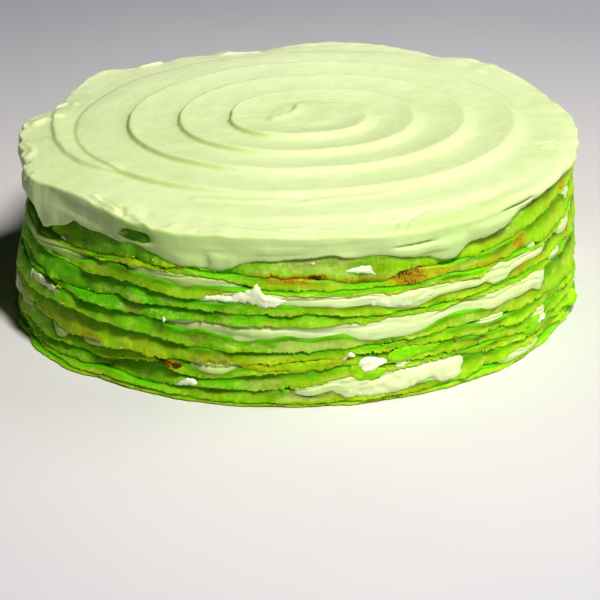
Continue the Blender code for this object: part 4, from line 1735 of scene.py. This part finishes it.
@dataclass(frozen=True)
class Smears:
    """Some smears that are built as one piece.

    Each is a row of closed loops of points. Its back is sunk below the surface, and one
    ridge runs along its face.
    """

    name: str
    smears: tuple[Smear, ...]
    loop: int = 26
    column: float = 0.22
    sunk: float = 0.5
    back_depth: float = 0.8
    shift: float = 3.3
    relief: Relief = Relief(0.9, 190.0, 0.22, 700.0, flatten=1.6)

    def _points(self, number: int, smear: Smear, stack: Stack) -> np.ndarray:
        """One smear's loops.

        Args:
            number: Which smear, which sets its uneven outline.
            smear: The smear.
            stack: The crepes that it lies on.

        Returns:
            (columns, loop, 3) points in millimetres.
        """
        (start, _), (end, _) = smear.upper[0], smear.upper[-1]
        columns = max(10, int((end - start) / self.column))
        azimuth = np.linspace(start, end, columns)
        upper = np.interp(azimuth, *zip(*smear.upper))
        lower = np.interp(azimuth, *zip(*smear.lower))
        for _ in range(2):
            for line in (upper, lower):
                line[1:-1] = 0.25 * line[:-2] + 0.5 * line[1:-1] + 0.25 * line[2:]
        upper += ripple(950 + number, azimuth, 1.0, 4.0, 0.1)
        lower += ripple(970 + number, azimuth, 1.0, 4.0, 0.1)
        middle, half = (upper + lower) / 2, np.maximum(upper - lower, 0.1) / 2
        back = smear.radius or stack.outside(azimuth, middle)
        taper = np.sqrt(np.clip(1.0 - np.linspace(-1.0, 1.0, columns) ** 4, 0.0, 1.0))
        ridge = middle + half * (0.25 + 0.35 * np.sin(azimuth * 0.35 + number))
        stand = np.linspace(*smear.stand, columns) * np.minimum(taper, (half / 0.8) ** 0.6)

        turn = np.linspace(0.0, math.tau, self.loop, endpoint=False)[:, None]
        out, up = np.cos(turn), np.sin(turn)
        z = middle + half * np.copysign(np.abs(up) ** 0.85, up)
        fold = 1.0 - 0.22 * np.exp(-(((z - ridge) / (0.22 * half + 0.2)) ** 2))
        deep = np.where(out > 0, stand * np.abs(out) * fold, -self.back_depth * np.abs(out))
        r, a = back - self.sunk + deep, np.radians(azimuth)
        return np.stack([r * np.sin(a), -r * np.cos(a), z], axis=-1).transpose(1, 0, 2)

    def build(
        self, stack: Stack, material: bpy.types.Material, relief: Tree
    ) -> bpy.types.Object:
        """Builds the piece.

        Args:
            stack: The crepes that the smears lie on.
            material: Their material.
            relief: The tree that makes them uneven.

        Returns:
            The piece.
        """
        points, faces, browned = [], [], []
        around = range(self.loop)
        for number, smear in enumerate(self.smears):
            made = self._points(number, smear, stack)
            base, last = len(points), len(points) + (len(made) - 1) * self.loop
            points += (made.reshape(-1, 3) * MM).tolist()
            for first in range(base, last, self.loop):
                second = first + self.loop
                for j in around:
                    after = (j + 1) % self.loop
                    faces.append((first + j, second + j, second + after, first + after))
            faces.append(tuple(base + j for j in around))
            faces.append(tuple(last + j for j in reversed(around)))
            browned += [smear.browned] * made[..., 0].size
        mesh = bpy.data.meshes.new(self.name)
        mesh.from_pydata(points, [], faces)
        store(mesh, {"browned": np.array(browned)})
        tidy_mesh(mesh)
        store(mesh, {"skin": 1.0, "ragged": 0.0, "out_of_shade": 0.5})
        mesh.materials.append(material)
        obj = add_object(self.name, mesh)
        self.relief.apply(relief, obj, self.shift)
        return obj


@dataclass(frozen=True)
class Dab:
    """A small piece of cream on the side, or a thread of it.

    Wide, tall and out are its half sizes, and stand is how far its middle is off the side.
    """

    azimuth: float
    height: float
    wide: float
    tall: float
    out: float
    stand: float = 0.2


@dataclass
class Dabs:
    """The loose bits of cream that stick to the side."""

    front: tuple[Dab, ...] = (
        Dab(-27.9, 28.2, 0.9, 0.9, 0.7), Dab(34.9, 50.0, 0.8, 0.6, 0.3),
        Dab(46.8, 49.6, 1.2, 0.5, 0.35), Dab(2.4, 50.4, 0.8, 0.4, 0.25),
        Dab(-29.0, 48.4, 2.4, 0.35, 0.3), Dab(-60.5, 41.8, 1.6, 0.3, 0.3),
        Dab(56.0, 11.0, 2.6, 1.6, 0.9),
    )
    behind: int = 18
    heights: tuple[float, float] = (4.0, 48.0)
    around: int = 32
    rings: int = 20
    relief: Relief = Relief(2.0, 330.0, 0.4, 900.0)

    def build(self, stack: Stack, material: bpy.types.Material, relief: Tree) -> bpy.types.Object:
        """Builds all the dabs as one piece.

        Args:
            stack: The crepes that they stick to.
            material: Their material.
            relief: The tree that makes them uneven.

        Returns:
            The piece.
        """
        chance = np.random.default_rng(900)
        dabs = list(self.front)
        for _ in range(self.behind):
            wide = chance.uniform(0.5, 2.8)
            dabs.append(Dab(chance.uniform(*REAR), chance.uniform(*self.heights), wide,
                            wide * chance.uniform(0.3, 0.7), wide * chance.uniform(0.25, 0.5)))
        points, faces = [], []
        around, rings = self.around, self.rings
        for dab in dabs:
            at = stack.surface(dab.azimuth, dab.height)
            angle = math.radians(dab.azimuth)
            outward = np.array([math.sin(angle), -math.cos(angle), 0.0])
            along = np.array([math.cos(angle), math.sin(angle), 0.0])
            centre = outward * (at + dab.stand) + np.array([0, 0, dab.height])
            bend = ripple(int(910 + dab.azimuth), np.linspace(0, 360, around, False), 90, 400, 0.12)
            base = len(points)
            for j in range(rings + 1):
                tilt = math.pi * j / rings
                for k in range(around):
                    turn = math.tau * k / around
                    size = 1.0 + bend[k] * math.sin(tilt)
                    points.append(
                        centre + size * (along * dab.wide * math.sin(tilt) * math.cos(turn)
                                         + outward * dab.out * math.sin(tilt) * math.sin(turn)
                                         + np.array([0, 0, dab.tall]) * math.cos(tilt))
                    )
            for j in range(rings):
                for k in range(around):
                    first, second = base + j * around, base + (j + 1) * around
                    after = (k + 1) % around
                    faces.append((first + k, second + k, second + after, first + after))
        mesh = bpy.data.meshes.new("cream_dabs")
        mesh.from_pydata([tuple(p * MM) for p in points], [], faces)
        tidy_mesh(mesh)
        store(mesh, {"skin": 1.0, "ragged": 0.0})
        mesh.materials.append(material)
        obj = add_object("cream_dabs", mesh)
        self.relief.apply(relief, obj)
        return obj


def tidy_mesh(mesh: bpy.types.Mesh) -> None:
    """Closes a mesh's poles and turns its faces outwards.

    Args:
        mesh: The mesh, which is changed.
    """
    work = bmesh.new()
    work.from_mesh(mesh)
    bmesh.ops.remove_doubles(work, verts=work.verts, dist=0.001 * MM)
    bmesh.ops.recalc_face_normals(work, faces=work.faces)
    work.to_mesh(mesh)
    work.free()


@dataclass
class Crumbs:
    """Crumbs that torn crepe edges shed."""

    per_square_metre: float = 200000.0
    smallest: float = 0.15
    largest: float = 0.55

    def build(self, stack: Stack, material: bpy.types.Material, scatter: Tree) -> bpy.types.Object:
        """Builds all the crumbs as one piece.

        Args:
            stack: The crepes, whose hems they hang on.
            material: Their material.
            scatter: The tree that scatters them over a strip along each hem.

        Returns:
            The piece.
        """
        columns = stack.columns
        angle = np.radians(stack.azimuth)
        points, faces, crumbly, baked = [], [], [], []
        for i in range(1, len(CREPES)):
            base = len(points) * columns
            want = np.clip(ripple(600 + i, stack.azimuth, 8.0, 60.0, 0.6), 0.0, 1.5)
            for up in (0.05, 1.0):
                z = np.minimum(stack.torn[i], stack.shoulders[i] - 0.6) + up
                r = stack.radii[i] + 0.02
                points.append(np.stack([r * np.sin(angle), -r * np.cos(angle), z], axis=-1) * MM)
                crumbly.append(want * CREPES[i].tears)
                baked.append(np.clip(ripple(640 + i, stack.azimuth, 6.0, 40.0, 0.3), 0.0, 0.7))
            here = np.arange(columns)
            after = (here + 1) % columns
            faces.append(np.stack([base + here, base + after, base + columns + after,
                                   base + columns + here], axis=-1))
        mesh = bpy.data.meshes.new("crumbs")
        mesh.from_pydata(np.concatenate(points).tolist(), [], np.concatenate(faces).tolist())
        store(mesh, {
            "crumbly": np.concatenate(crumbly),
            "browned": np.concatenate(baked),
            "out_of_shade": 1.0,
            "creamy": 0.3,
        })
        obj = add_object("crumbs", mesh)
        scatter.apply(
            obj,
            {"Crumbs per square metre": self.per_square_metre, "Smallest": self.smallest * MM,
             "Largest": self.largest * MM, "Seed": 5, "Material": material},
        )
        return obj


# ----------------------------------------------------------------------------- the studio


@dataclass(frozen=True)
class Lamp:
    """An area lamp that looks at the cake, in degrees, metres and watts."""

    name: str
    azimuth: float
    elevation: float
    size: tuple[float, float]
    power: float
    colour: tuple[float, float, float]
    distance: float = 1.6

    def build(self) -> None:
        """Puts the lamp into the scene."""
        data = bpy.data.lights.new(self.name, "AREA")
        data.shape = "RECTANGLE"
        data.size, data.size_y = self.size
        data.energy, data.color = self.power, self.colour
        a, e = math.radians(self.azimuth), math.radians(self.elevation)
        away = Vector((math.sin(a) * math.cos(e), -math.cos(a) * math.cos(e), math.sin(e)))
        lamp = add_object(self.name, data)
        lamp.location = away * self.distance
        lamp.rotation_euler = away.to_track_quat("Z", "Y").to_euler()


@dataclass(frozen=True)
class Studio:
    """The floor, the light and the camera, in metres and degrees; lens sizes are in mm."""

    camera_distance: float = 1.31175
    camera_elevation: float = 23.166
    camera_roll: float = -1.5
    focal_length: float = 216.0
    sensor_width: float = 36.0
    target: tuple[float, float, float] = (-0.00036, -0.00138, -0.00322)
    floor_half: float = 4.0
    floor_drop: float = 0.0002
    lamps: tuple[Lamp, ...] = (
        Lamp("key", 30.0, 56.0, (0.2, 0.42), 33.0, (1.0, 0.985, 0.98)),
        Lamp("side", 98.0, 32.0, (0.9, 0.5), 6.0, (0.97, 0.985, 1.0)),
    )
    sky_colour: tuple[float, float, float, float] = (0.80, 0.82, 0.84, 1.0)
    sky_strength: float = 0.012
    gamma: float = 0.86

    def floor(self) -> bpy.types.Object:
        """A wide pale floor."""
        mesh = bpy.data.meshes.new("floor")
        half = self.floor_half
        corners = [(-half, -half, 0), (half, -half, 0), (half, half, 0), (-half, half, 0)]
        mesh.from_pydata(corners, [], [(0, 1, 2, 3)])
        mesh.materials.append(FloorFinish().material())
        obj = add_object("floor", mesh)
        obj.location.z = FRAME_BOX[0][2] - self.floor_drop
        return obj

    def light(self) -> None:
        """A high soft key from the right, a weak fill and an even sky."""
        for lamp in self.lamps:
            lamp.build()
        world = bpy.data.worlds.new("studio")
        world.use_nodes = True
        background = world.node_tree.nodes["Background"]
        background.inputs["Color"].default_value = self.sky_colour
        background.inputs["Strength"].default_value = self.sky_strength
        bpy.context.scene.world = world

    def camera(self) -> None:
        """The camera, tilted a little as it was held."""
        data = bpy.data.cameras.new("camera")
        data.lens, data.sensor_width = self.focal_length, self.sensor_width
        data.clip_start, data.clip_end = 0.05, 20.0
        pitch, roll = math.radians(self.camera_elevation), math.radians(self.camera_roll)
        forward = Vector((0.0, math.cos(pitch), -math.sin(pitch)))
        level, up = Vector((1.0, 0.0, 0.0)), Vector((0.0, math.sin(pitch), math.cos(pitch)))
        right = level * math.cos(roll) + up * math.sin(roll)
        over = up * math.cos(roll) - level * math.sin(roll)
        turn = Matrix((right, over, -forward)).transposed()
        place = Vector(self.target) - forward * self.camera_distance
        camera = add_object("camera", data)
        camera.matrix_world = Matrix.Translation(place) @ turn.to_4x4()
        bpy.context.scene.camera = camera

    def build(self) -> None:
        """Sets up the whole studio."""
        self.floor()
        self.light()
        self.camera()
        view = bpy.context.scene.view_settings
        view.view_transform, view.gamma = "Standard", self.gamma


# ------------------------------------------------------------------------------ the cake


@dataclass
class CrepeCake:
    """The whole cake, built on the frame's nodes."""

    stack: Stack = field(default_factory=Stack)
    topping: Topping = field(default_factory=Topping)

    def __post_init__(self) -> None:
        """Places the top crepe's shoulder under the topping."""
        azimuth = self.stack.azimuth
        hem = Course(self.topping.hem, 0.9).at(azimuth)
        opening = 2.6 * plateau(azimuth, -41.0, -27.0, 4.0)
        shoulder = np.clip(hem + 1.3, 50.5, 56.6) + opening
        self.stack.shoulders.append(np.maximum(shoulder, self.stack.hems[-1] + 1.6))

    def _hand_over(self, obj: bpy.types.Object, slot: str, *nodes: str) -> None:
        """Attaches a piece to the root body, hides the nodes that it replaces, and reports it.

        Args:
            obj: The piece.
            slot: Not used.
            nodes: The nodes that it replaces, if it replaces any.
        """
        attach(obj, "root")
        if nodes:
            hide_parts(*nodes)
        log.info("%s: %d faces", obj.name, len(obj.data.polygons))

    def build(self) -> None:
        """Builds and dresses every piece, from the base up."""
        green = CrepeFinish().material()
        between, above, white = (cream.value.material() for cream in Cream)
        relief, spiral, scatter = relief_tree(), spiral_tree(), crumb_tree()
        for i in range(len(CREPES)):
            obj = self.stack.crepe(i, green)
            self.stack.crepe_relief.apply(relief, obj, 0.37 * i)
            self._hand_over(obj, "crepe", f"crepe_{i + 1:02d}")
        for i in range(len(CREPES) - 1):
            obj = self.stack.filling(i, between)
            self.stack.filling_relief.apply(relief, obj, 0.41 * i)
            self._hand_over(obj, "filling", f"filling_{i + 1:02d}")
        top = self.topping.build(self.stack, above, spiral, relief)
        self._hand_over(top, "topping", "topping")
        for smears, material, slot in (
            (Smears("cream_smears_pale", PALE_SMEARS), between, "filling"),
            (Smears("cream_smears_white", WHITE_SMEARS), white, "filling"),
            (Smears("torn_folds", TORN_FOLDS), green, "crepe"),
        ):
            self._hand_over(smears.build(self.stack, material, relief), slot)
        self._hand_over(Dabs().build(self.stack, white, relief), "filling")
        self._hand_over(Crumbs().build(self.stack, green, scatter), "crepe")


def main() -> None:
    """Builds the studio and the cake on the frame."""
    logging.basicConfig(level=logging.INFO, format="%(name)s: %(message)s")
    Studio().build()
    CrepeCake().build()


if __name__ == "__main__":
    main()
